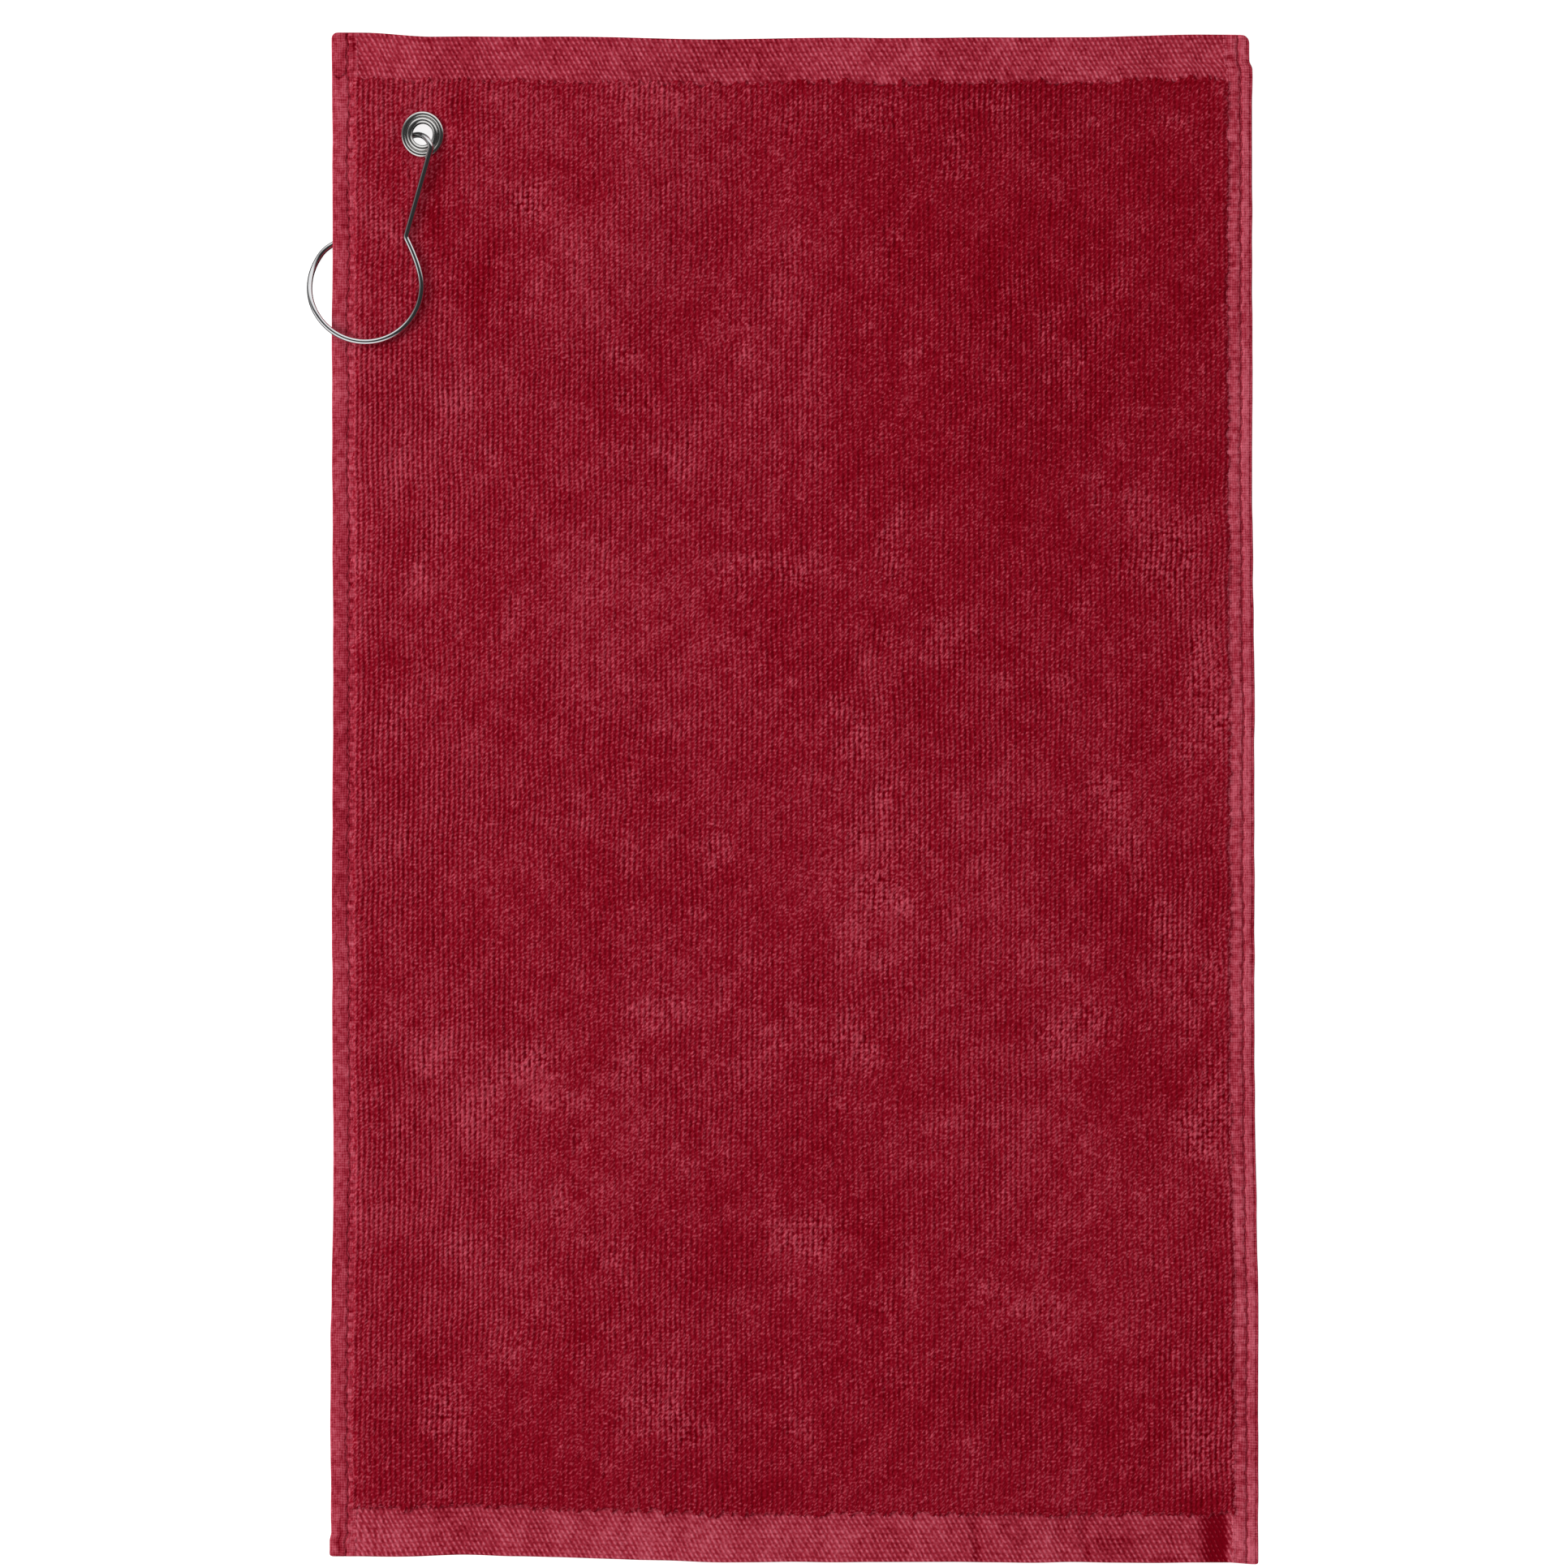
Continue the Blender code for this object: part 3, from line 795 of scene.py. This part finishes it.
def add_loops():
    """The uncut terry loops on the back."""
    half_width, half_length = PANEL_HALF_WIDTH, PANEL_HALF_LENGTH
    x, y, faces = sheet_of(*tuft_lines(-half_width, half_width, -half_length, half_length, LOOP_CELLS))
    wavy_x = x + 0.5 * noise(x, y, 4, 61)
    wavy_y = y + 0.5 * noise(x, y, 4, 62)
    domes = lattice(wavy_x, wavy_y, 1.0, LOOP_JITTER, 63)
    loft = 0.5 - 1.3 * np.clip(domes + 0.25, -0.35, 0.3) + 0.12 * noise(x, y, 1.1, 64)
    inside = blend((half_width - np.abs(x)) / LOOP_END) * blend((half_length - np.abs(y)) / LOOP_END)
    height = mix(LOOP_FOOT, np.maximum(loft, LOOP_LOWEST), inside)
    height = pinched(x, y, height, PRESSED_LOOPS)
    # Loop tops are painted lighter and the gaps between them darker: painted shade.
    shade = 0.42 + 0.5 * (np.clip(1 + 2 * domes, 0, 1) - 0.6) + 0.12 * noise(x, y, 14, 65)
    return add_layer("terry_loops", laid(x, y, height), faces[:, ::-1], loop_red, shade)


# The ground cloth: its middle's height, that height by the grommet, its thickness and its shade
GROUND_HEIGHT, PRESSED_GROUND = 1.25, 1.72
GROUND_THICKNESS = 0.5
GROUND_SHADE = 0.25
GROUND_INSET = 0.2
GROUND_CELL, NEAR_CELL = 4, 0.8
NEAR_REACH, NEAR_ROOM = 10, 11


def ground_lines(half, centre):
    """Grid lines that lie closer together near the grommet."""
    near = centre + np.arange(-NEAR_REACH, NEAR_REACH + 0.1, NEAR_CELL)
    lines = cell_lines(-half + GROUND_INSET, half - GROUND_INSET, GROUND_CELL)
    return np.sort(np.concatenate([lines[np.abs(lines - centre) > NEAR_ROOM], near]))


def add_ground():
    """The woven ground that the pile and the loops stand on."""
    x_lines = ground_lines(PANEL_HALF_WIDTH, GROMMET_X)
    y_lines = ground_lines(PANEL_HALF_LENGTH, GROMMET_Y)
    x, y, faces = sheet_of(x_lines, y_lines)
    middle = pinched(x, y, np.full(x.shape, GROUND_HEIGHT), PRESSED_GROUND)
    shade = np.full(x.shape, GROUND_SHADE)
    ground = add_layer("ground_cloth", laid(x, y, middle), faces, hem_red, shade)
    thickness = ground.modifiers.new("thickness", "SOLIDIFY")
    thickness.thickness = GROUND_THICKNESS * MM
    thickness.offset = 0
    return ground


# ---------------- hems and borders


def on_left(s, t):
    return s - HALF_WIDTH, t


def on_right(s, t):
    return HALF_WIDTH - s, t


def on_top(s, t):
    return t, HALF_LENGTH - s


def on_bottom(s, t):
    return t, s - HALF_LENGTH


def plain_weave(u, v):
    """Height of a plain weave from 0 to 1, in threads. Warp threads run along v."""
    i, j = np.floor(u), np.floor(v)
    across, along = u - i - 0.5, v - j - 0.5
    over = np.where((i + j) % 2 == 0, 1.0, -1.0)
    warp = np.cos(math.pi * across) * (0.62 + 0.38 * over * np.cos(math.pi * along))
    weft = np.cos(math.pi * along) * (0.62 - 0.38 * over * np.cos(math.pi * across))
    return np.maximum(warp, weft)


# The borders' twill: a row's height, how far its yarns lean, and a yarn's half width in pitches
BORDER_ROW = 1.45
BORDER_LEAN = 0.5
YARN_HALF_WIDTH = 0.23


def twill(x, y):
    """Height of short leaning yarns, each row half a pitch along from the next, from 0 to 1."""
    v = y / BORDER_ROW
    row = np.floor(v)
    along = v - row - 0.5
    u = (x + BORDER_LEAN * along * BORDER_ROW) / RIB_PITCH + 0.5 * row
    across = u - np.floor(u) - 0.5
    return np.exp(-((across / YARN_HALF_WIDTH) ** 2)) * np.cos(math.pi * along * 0.96)


# A band's section: how far its fold and its inner edge are rounded, and the middle of its height
FOLD_RADIUS = 0.62
FOLD_ANGLES = np.linspace(-0.25, 0.9, 5) * math.pi / 2
UNDERSIDE_POINTS = 8
BAND_MIDDLE = 1.4
BAND_CELL = 0.19
END_ROUNDING, END_THINNEST = 0.6, 0.06
# Points that a rounded corner pushes inwards keep this share of their spacing
CORNER_SPACING = 0.15


def across_band(width, columns):
    """Points round a band's section, as rows of (distance from its outer edge, level). The level goes
    from -1 on the underside to 1 on top."""
    near, far = FOLD_RADIUS, width - FOLD_RADIUS
    section = [(near * (1 - math.cos(angle)), math.sin(angle)) for angle in FOLD_ANGLES]
    section += [(s, 1.0) for s in np.linspace(near, far, columns)]
    section += [(width - near * 0.3, 0.55), (width, 0.0), (width - near * 0.3, -0.6)]
    section += [(s, -1.0) for s in np.linspace(far, near, UNDERSIDE_POINTS)]
    return np.array([*section, (near * 0.45, -0.8)])


def add_band(name, width, half_length, columns, rounding, place, top, material, flip):
    """A folded band. place(s, t) puts it on the rectangle, where s goes inwards from its outer edge and
    t along it, and top(s, t, x, y) gives its upper surface's height and shade. rounding has the radius
    of its outer corner at each end."""
    section = across_band(width, columns // COARSE)
    t_lines = cell_lines(-half_length, half_length, BAND_CELL * COARSE)
    t, s = np.meshgrid(t_lines, section[:, 0], indexing="ij")
    level = section[:, 1][None, :]
    from_end = half_length - np.abs(t)
    to_end = 1 - np.clip(from_end / END_ROUNDING, 0, 1)
    round_end = np.sqrt(np.clip(1 - to_end**2, END_THINNEST, 1))
    radius = np.where(t < 0, *rounding)
    beyond = np.clip(radius - from_end, 0, radius)
    corner = radius - np.sqrt(radius**2 - beyond**2)
    s = np.maximum(s, corner + CORNER_SPACING * s)
    x, y = place(s, t)
    high, high_shade = top(s, t, x, y)
    low, low_shade = hem_bottom(s, t, x, y)
    half_height = np.where(level >= 0, high - BAND_MIDDLE, BAND_MIDDLE - low)
    height = BAND_MIDDLE + half_height * level * round_end
    shade = np.where(level >= 0, high_shade, low_shade)
    rows, count = t.shape
    blocks = closed_tube(rows, count)
    if flip:
        blocks = [b[:, ::-1] for b in blocks]
    return make_piece(name, laid(x, y, height).reshape(-1, 3), blocks, material, shade.ravel())


STITCH = 2.6
# Each seam: how far in from the outer edge it is, how much it wanders, and its seed
LEFT_SEAM, RIGHT_SEAM = (4.95, 1, 72), (3.5, 0.6, 82)
TOP_SEAM, BOTTOM_SEAM = (13.9, 0.3, 88), (15.2, 0.3, 89)
SEAM_WAVE, SEAM_DRIFT, SEAM_DRIFT_MM = 0.22, 0.3, 7


def seam_at(t, middle, wander, seed):
    """How far in a seam is at a place along it."""
    wave = SEAM_WAVE * np.sin(math.tau * t / (2 * STITCH))
    return middle + wander * (wave + SEAM_DRIFT * noise(t, 0, SEAM_DRIFT_MM, seed))


def line(at, place, half_width):
    """A soft line: 1 on it, and 0 well beyond its half width."""
    return np.exp(-(((at - place) / half_width) ** 2))


WEAVE = 0.73
WEAVE_MEAN = 0.7
WEAVE_HEIGHT, WEAVE_SHADE = 0.19, 0.60
UNEVEN_HEIGHT, UNEVEN_SHADE = 0.03, 0.24


def weave_top(s, t, seed):
    """Plain weave with threads of uneven thickness: height over the band's surface, and shade."""
    u = (s + 0.20 * noise(t, s, 1.4, seed)) / WEAVE
    v = (t + 0.24 * noise(t, s, 1.4, seed + 1)) / WEAVE
    woven = plain_weave(u, v) - WEAVE_MEAN
    uneven = 0.6 * noise(t, s * 2, 2.2, seed + 2) + 0.8 * noise(t, s, 0.7, seed + 3)
    # Low places in the weave get painted shade, and high threads are painted lighter.
    return WEAVE_HEIGHT * woven + UNEVEN_HEIGHT * uneven, WEAVE_SHADE * woven + UNEVEN_SHADE * uneven


def puckers(t, seed):
    """Small gathers between the stitches, from -1 to 1."""
    gathers = np.cos(math.tau * t / STITCH + 2 * noise(t, 0, 6, seed))
    return 0.7 * gathers + 0.4 * noise(t, 0, 1.3, seed + 1)


# The bands' surfaces. Each takes a place on the band and the same place on the rectangle, and gives the
# height there and the shade.
HEM_TOP = 2.05
RIGHT_TOP = 2.0
HEM_UNDERSIDE = 0.72
# The right hem is painted lighter than the left: painted light, as the key light comes from the left.
HEM_SHADE, RIGHT_SHADE, UNDERSIDE_SHADE = 0.50, 0.74, 0.42
SEAM_DEPTH = 0.5
CROWN = 0.12
HEM_TONE, HEM_TONE_MM = 0.10, 16
# The tab of pile at the left hem's upper end, and the small curved fold under it, both with painted
# shade
TAB_EDGE, TAB_START = 6.8, 216.6


def left_top(s, t, x, y):
    relief, shade = weave_top(s, t, 71)
    seam = seam_at(t, *LEFT_SEAM)
    groove = line(s, seam, 0.27)
    outer = line(s, seam - 2.0, 0.5) * (1 - blend((t + 222) / 8))
    beyond = blend((s - seam) / 0.5)
    crown = mound((s - 2.4) / 2.4)
    gathers, grain = puckers(t, 73), noise(s, t, 0.8, 74)
    height = HEM_TOP + relief * (1 - beyond) + CROWN * crown - SEAM_DEPTH * groove - 0.10 * outer
    height = height + beyond * (0.2 * gathers + 0.12 * grain)
    # Painted shade in the groove, the line by it, the tab's edge and the fold; raised puckers lighter.
    shade = HEM_SHADE + shade * (1 - 0.2 * beyond) - 0.36 * groove - 0.3 * outer
    shade = shade + beyond * (0.14 * gathers + 0.26 * noise(s, t, 0.7, 74) - 0.02)
    tab_edge = line(s, TAB_EDGE, 0.4) * blend((t - TAB_START) / 1.5)
    fold = line(t, TAB_START - 1.3 * crown, 0.4) * mound((s - 2.6) / 3.4)
    shade = shade - 0.4 * tab_edge - 0.42 * fold + HEM_TONE * noise(t, s, HEM_TONE_MM, 75)
    return height - SEAM_DEPTH * fold, shade


def right_top(s, t, x, y):
    relief, shade = weave_top(s, t, 81)
    seam = seam_at(t, *RIGHT_SEAM)
    groove = line(s, seam, 0.34)
    rim = line(s, 0.78, 0.24)
    beyond = blend((s - seam) / 0.4)
    gathers = puckers(t, 83)
    ribbed = np.cos(math.tau * t / 0.77) * (1 - beyond)
    height = RIGHT_TOP + relief + 0.04 * ribbed + CROWN * mound((s - 5.1) / 1.6)
    height = height - SEAM_DEPTH * groove - 0.22 * rim + beyond * 0.10 * gathers
    # Painted shade in the groove and along the rim; raised ribs and puckers painted lighter.
    shade = RIGHT_SHADE + shade + 0.05 * ribbed - 0.30 * groove - 0.40 * rim
    shade = shade + beyond * (0.10 * gathers + 0.12 * noise(s, t, 0.7, 85) - 0.12)
    # Painted shade along the outer edge, and painted light towards the bottom end.
    shade = shade - 0.25 * (1 - blend(s / 0.8)) + 0.22 * (1 - blend((t + 219) / 5))
    return height, shade + HEM_TONE * noise(t, s, HEM_TONE_MM, 84)


def hem_bottom(s, t, x, y):
    relief, shade = weave_top(s, t, 76)
    return HEM_UNDERSIDE - relief, UNDERSIDE_SHADE + shade


BORDER_HEIGHT, BORDER_SHADE = 0.26, 0.72


def border_relief(x, y):
    """A border's twill: height over its surface, and shade."""
    swayed_x = x + 0.35 * noise(x, y, 5, 91) + 0.6 * noise(x, y, 22, 92)
    swayed_y = y + 0.2 * noise(x, y, 4, 93)
    yarns = twill(swayed_x, swayed_y)
    yarns = yarns * (0.85 + 0.35 * noise(x, y, 1.5, 89))
    grain = 0.20 * noise(x, y, 0.45, 94) + 0.12 * noise(x, y, 1.7, 90)
    # The yarns are painted lighter and the gaps between them get painted shade.
    return BORDER_HEIGHT * (yarns - 0.4), BORDER_SHADE * (yarns - 0.3) + grain


TOP_SHADE, BOTTOM_SHADE = 0.47, 0.53


def top_border_top(s, t, x, y):
    relief, shade = border_relief(x, y)
    height = HEM_TOP + relief + 0.12 * noise(x, y, 6, 95)
    # The outer edge, where the border rolls down, gets painted shade.
    rim = 1 - blend(s / 1.2)
    return height, TOP_SHADE + shade + 0.10 * noise(x, y, 9, 96) - 0.16 * rim


# Soft creases across the bottom border, darkened with painted shade: place, half width and depth
BORDER_CREASES = [(56.5, 1.6, 0.22), (81.5, 2.2, 0.18), (88.5, 1.5, 0.16), (-48, 2.5, 0.12)]
# The fold at its right end: where it starts, how wide it gets, and where and how softly it ends
FOLD_START, FOLD_WIDTH, FOLD_END, FOLD_FADE = 116, 10, 128.2, 2.4
# The fold's darkness is painted shade.
FOLD_DEPTH, FOLD_SHADE = 0.3, 0.62


def bottom_border_top(s, t, x, y):
    relief, shade = border_relief(x, y)
    creases = np.zeros(np.shape(x))
    for place, half_width, depth in BORDER_CREASES:
        leaning = 0.12 * s + 0.8 * noise(s, 0, 5, 100)
        creases = creases + depth * line(x + leaning, place, half_width)
    fold = blend((x - FOLD_START) / FOLD_WIDTH) ** 2 * (1 - blend((x - FOLD_END) / FOLD_FADE))
    soft = 0.10 * noise(x, 0, 7, 97) + 0.10 * noise(x, y, 16, 98)
    height = HEM_TOP + relief + 0.10 * noise(x, y, 6, 99) - FOLD_DEPTH * fold - creases
    # Stripes of painted shade, where the border's left end has ridges.
    painted_ridge_shade = (1 - blend((x + 124) / 5)) * np.cos(math.tau * x / 2.2)
    shade = BOTTOM_SHADE + shade + soft - FOLD_SHADE * fold - 1.1 * creases - 0.12 * painted_ridge_shade
    return height, shade


# How far each band reaches in under the pile, and how many points it has across its top
SIDE_UNDER, TOP_UNDER, BOTTOM_UNDER = 1.9, 1.9, 3.0
SIDE_COLUMNS, TOP_COLUMNS, BOTTOM_COLUMNS = 34, 58, 62
LEFT_CORNERS, RIGHT_CORNERS, SQUARE_CORNERS = (1.0, 2.0), (0.8, 2.6), (0.1, 0.1)


def add_bands():
    side, long, short = SIDE_HEM + SIDE_UNDER, HALF_LENGTH, PANEL_HALF_WIDTH
    top, bottom = END_HEM + TOP_UNDER, END_HEM + BOTTOM_UNDER
    bands = [
        ("left_hem_band", side, long, SIDE_COLUMNS, LEFT_CORNERS, on_left, left_top, hem_red, False),
        ("right_hem_band", side, long, SIDE_COLUMNS, RIGHT_CORNERS, on_right, right_top, hem_red, True),
    ]
    on_end = [
        ("top_border_band", top, TOP_COLUMNS, on_top, top_border_top, False),
        ("bottom_border_band", bottom, BOTTOM_COLUMNS, on_bottom, bottom_border_top, True),
    ]
    for name, width, columns, place, surface, flip in on_end:
        bands.append((name, width, short, columns, SQUARE_CORNERS, place, surface, border_red, flip))
    return [add_band(*band) for band in bands]


# ---------------- stitches

THREAD_RADIUS = 0.2
THREAD_SIDES = 8
STITCH_STEPS = np.linspace(0.06, 0.94, 9)
STITCH_ARCH, STITCH_SUNK = 0.62, 0.42
SEAM_INSET = 2
THREAD_SHADE, THREAD_UNEVEN, THREAD_UNEVEN_MM = 0.42, 0.2, 0.5


def add_seam(name, half_length, place, seam, surface, over):
    """A row of single stitches. Each one comes out of the surface, lies along it and goes back in."""
    parts = []
    arch = over * (STITCH_ARCH * np.sin(math.pi * STITCH_STEPS) ** 0.5 - STITCH_SUNK)
    for i in range(int(2 * half_length / STITCH)):
        t = -half_length + (i + STITCH_STEPS) * STITCH
        s = seam_at(t, *seam)
        x, y = place(s, t)
        height, _ = surface(s, t, x, y)
        parts.append(tube(laid(x, y, height + arch), THREAD_RADIUS, THREAD_SIDES))
    points, blocks = joined(parts)
    x, y, z = points.T
    shade = THREAD_SHADE + THREAD_UNEVEN * noise(x + y, z, THREAD_UNEVEN_MM, 78)
    return make_piece(name, points, blocks, thread_red, shade)


def add_stitches():
    long, short = HALF_LENGTH - SEAM_INSET, PANEL_HALF_WIDTH - SEAM_INSET
    seams = {
        "left": (long, on_left, LEFT_SEAM, left_top),
        "right": (long, on_right, RIGHT_SEAM, right_top),
        "top": (short, on_top, TOP_SEAM, top_border_top),
        "bottom": (short, on_bottom, BOTTOM_SEAM, bottom_border_top),
    }
    made = []
    for side, (half_length, place, seam, surface) in seams.items():
        needle = add_seam(f"{side}_needle_stitches", half_length, place, seam, surface, 1)
        bobbin = add_seam(f"{side}_bobbin_stitches", half_length, place, seam, hem_bottom, -1)
        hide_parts(f"{side}_needle_thread")
        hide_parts(f"{side}_bobbin_thread")
        made += [needle, bobbin]
    return made


# ---------------- grommet


def arc(centre, radius, start, end, steps):
    """Points on an arc, from one angle to another in radians."""
    angles = np.linspace(start, end, steps + 1)
    return np.asarray(centre) + radius * np.stack([np.cos(angles), np.sin(angles)], axis=1)


TURNED_STEPS = 96
LIP_STEPS, DOME_STEPS, REAR_LIP_STEPS, RIM_STEPS = 14, 12, 10, 6
LIP_END_ANGLE = math.radians(15)
DOME_START_ANGLE = math.radians(165)
LIP_TO_FLANGE = 0.1


def turned(name, profile):
    """A closed profile of (radius, height) points turned about the grommet's axis, slightly oval."""
    angles = np.arange(TURNED_STEPS) * math.tau / TURNED_STEPS
    radius, height = np.asarray(profile).T
    x = GROMMET_X + np.outer(np.cos(angles), radius) * EYELET_OVAL[0]
    y = GROMMET_Y + np.outer(np.sin(angles), radius) * EYELET_OVAL[1]
    z = np.outer(np.ones(TURNED_STEPS), height)
    points = np.stack([x, y, z], axis=-1).reshape(-1, 3)
    faces = quads(TURNED_STEPS, len(profile), wrap=True, close=True)
    outward = faces[:, [0, 3, 2, 1]]
    return make_piece(name, points, [outward], nickel)


def add_grommet():
    """The eyelet, and the washer behind the cloth that its barrel is rolled over."""
    lip_centre = (HOLE_RADIUS + LIP_RADIUS, LIP_CENTRE_Z)
    rear_centre = (HOLE_RADIUS + REAR_LIP_RADIUS, REAR_LIP_CENTRE_Z)
    flange_inner = HOLE_RADIUS + 2 * LIP_RADIUS + LIP_TO_FLANGE
    middle = (flange_inner + FLANGE_RADIUS) / 2
    half = (FLANGE_RADIUS - flange_inner) / 2
    dome = arc((0, FLANGE_UNDERSIDE), FLANGE_RISE, DOME_START_ANGLE, 0, DOME_STEPS)
    dome[:, 0] = middle + dome[:, 0] * half / FLANGE_RISE
    outside = HOLE_RADIUS + BARREL_WALL
    profile = np.concatenate(
        [
            arc(lip_centre, LIP_RADIUS, math.pi, LIP_END_ANGLE, LIP_STEPS),
            dome,
            [(outside, FLANGE_UNDERSIDE), (outside, REAR_LIP_CENTRE_Z)],
            arc(rear_centre, REAR_LIP_RADIUS, 0, -math.pi, REAR_LIP_STEPS),
        ]
    )
    eyelet = turned("eyelet", profile)
    bore = HOLE_RADIUS + BARREL_WALL + GAP
    edge = WASHER_THICKNESS / 2
    rim_centre = (WASHER_RADIUS - edge, WASHER_UNDERSIDE + edge)
    rim = arc(rim_centre, edge, math.pi / 2, -math.pi / 2, RIM_STEPS)
    inner_top, inner_bottom = (bore, WASHER_UNDERSIDE + WASHER_THICKNESS), (bore, WASHER_UNDERSIDE)
    ring = np.concatenate([[inner_top], rim, [inner_bottom]])
    washer = turned("washer", ring)
    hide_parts("grommet_eyelet")
    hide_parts("grommet_washer")


# ---------------- clip


CORNER_STEPS, SHOULDER_STEPS, RING_STEPS, BEND_STEPS = 12, 16, 140, 8
WIRE_STEP = 0.45
WIRE_SIDES = 24
SAME_POINT = 1e-6


def unit(vector):
    return vector / np.linalg.norm(vector)


def rounded_corner(before, corner, after):
    """The arc that rounds a corner of the wire."""
    arriving, leaving = unit(corner - before), unit(after - corner)
    half_turn = math.acos(float(np.clip(np.dot(arriving, leaving), -1, 1))) / 2
    centre = corner + unit(leaving - arriving) * KINK_RADIUS / math.cos(half_turn)
    first = corner - arriving * KINK_RADIUS * math.tan(half_turn) - centre
    last = corner + leaving * KINK_RADIUS * math.tan(half_turn) - centre
    start = math.atan2(first[1], first[0])
    turn = (math.atan2(last[1], last[0]) - start + math.pi) % math.tau - math.pi
    return arc(centre, KINK_RADIUS, start, start + turn, CORNER_STEPS)


def shoulder(start, start_way, end, end_way):
    """The easy curve between a neck and the ring, without its two ends."""
    t = np.linspace(0, 1, SHOULDER_STEPS + 1)[1:-1, None]
    leave, arrive = start + start_way * SHOULDER_HANDLE, end - end_way * SHOULDER_HANDLE
    r = 1 - t
    return start * r**3 + leave * 3 * r * r * t + arrive * 3 * r * t * t + end * t**3


def ring_way(angle):
    """The direction in which the wire runs round the ring."""
    return np.array((math.sin(angle), -math.cos(angle)))


def ring_height(points):
    """The ring is above the cloth in front, and drops beside the towel's edge to run behind it."""
    angle = np.arctan2(points[:, 1] - RING_CENTRE[1], points[:, 0] - RING_CENTRE[0])
    dropped = blend((DROP_ANGLE + DROP_HALF_ANGLE - angle) / (2 * DROP_HALF_ANGLE))
    return mix(FRONT_HEIGHT, REAR_HEIGHT, dropped)


def smooth_through(points):
    """A Catmull-Rom curve through the points."""
    points = np.asarray(points, float)
    ends = np.concatenate([[2 * points[0] - points[1]], points, [2 * points[-1] - points[-2]]])
    curve = []
    for a, b, c, d in zip(ends, ends[1:], ends[2:], ends[3:]):
        for t in np.arange(BEND_STEPS) / BEND_STEPS:
            bend = (2 * a - 5 * b + 4 * c - d) * t * t + (3 * b - a - 3 * c + d) * t**3
            curve.append((2 * b + (c - a) * t + bend) / 2)
    return np.array(curve + [points[-1]])


def at_height(points, height):
    return np.column_stack([points, np.broadcast_to(height, len(points))])


def evenly(points):
    """The same line with evenly spaced points."""
    steps = np.linalg.norm(np.diff(points, axis=0), axis=1)
    points = points[np.insert(steps > SAME_POINT, 0, True)]
    reached = np.insert(np.cumsum(steps[steps > SAME_POINT]), 0, 0)
    places = np.linspace(0, reached[-1], round(reached[-1] / WIRE_STEP) + 1)
    return np.column_stack([np.interp(places, reached, points[:, i]) for i in range(3)])


def clip_route():
    """The wire's centre line from the latch's lip to its tail, in (along, aside, height)."""
    rear_neck = NECK * (1, -1)
    out_rear = SHOULDER * (1, -1)
    front_arm_top = np.array(BEND_ROUTE[0][:2])
    rear_arm_top = np.array(BEND_ROUTE[-1][:2])
    lip_end = rear_neck + out_rear * LATCH_LIP
    rear_arm_way = unit(rear_neck - rear_arm_top)

    # The tail nests inside the lip, so its own neck is the same kink moved inwards.
    arm_side = np.array((-rear_arm_way[1], rear_arm_way[0]))
    lip_side = np.array((-out_rear[1], out_rear[0]))
    nested_neck = rear_neck + (arm_side + lip_side) * LATCH_NEST / (1 + np.dot(arm_side, lip_side))
    tail_end = nested_neck - rear_arm_way * LATCH_TAIL

    lip = rounded_corner(lip_end, rear_neck, rear_arm_top)
    lip = np.concatenate([[lip_end], lip])
    front = rounded_corner(front_arm_top, NECK, NECK + SHOULDER)
    ring = arc(RING_CENTRE, RING_RADIUS, RING_FRONT_ANGLE, RING_REAR_ANGLE, RING_STEPS)
    tail = rounded_corner(nested_neck + out_rear, nested_neck, tail_end)
    tail = np.concatenate([tail, [tail_end]])
    to_ring = shoulder(front[-1], SHOULDER, ring[0], ring_way(RING_FRONT_ANGLE))
    to_tail = shoulder(ring[-1], ring_way(RING_REAR_ANGLE), tail[0], -out_rear)
    return np.concatenate(
        [
            at_height(lip, REAR_HEIGHT),
            smooth_through(BEND_ROUTE)[::-1],
            at_height(np.concatenate([front, to_ring]), FRONT_HEIGHT),
            at_height(ring, ring_height(ring)),
            at_height(np.concatenate([to_tail, tail]), REAR_HEIGHT),
        ]
    )


def add_clip():
    route = evenly(clip_route())
    along = np.array((math.cos(ALONG_ANGLE), math.sin(ALONG_ANGLE)))
    aside = np.array((-along[1], along[0]))
    flat = np.outer(route[:, 0], along) + np.outer(route[:, 1], aside) + (GROMMET_X, GROMMET_Y)
    points, blocks = tube(np.column_stack([flat, route[:, 2]]), WIRE_RADIUS, WIRE_SIDES)
    clip = make_piece("wire_clip_smooth", points, blocks, steel, body="clip")
    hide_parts("wire_clip")


# ---------------- the whole towel

pile = add_velour()
loops = add_loops()
ground = add_ground()
left_band, right_band, top_band, bottom_band = add_bands()
stitches = add_stitches()
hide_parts("terry_panel")
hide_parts("left_hem")
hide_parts("right_hem")
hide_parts("top_border")
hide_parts("bottom_border")
add_grommet()
add_clip()
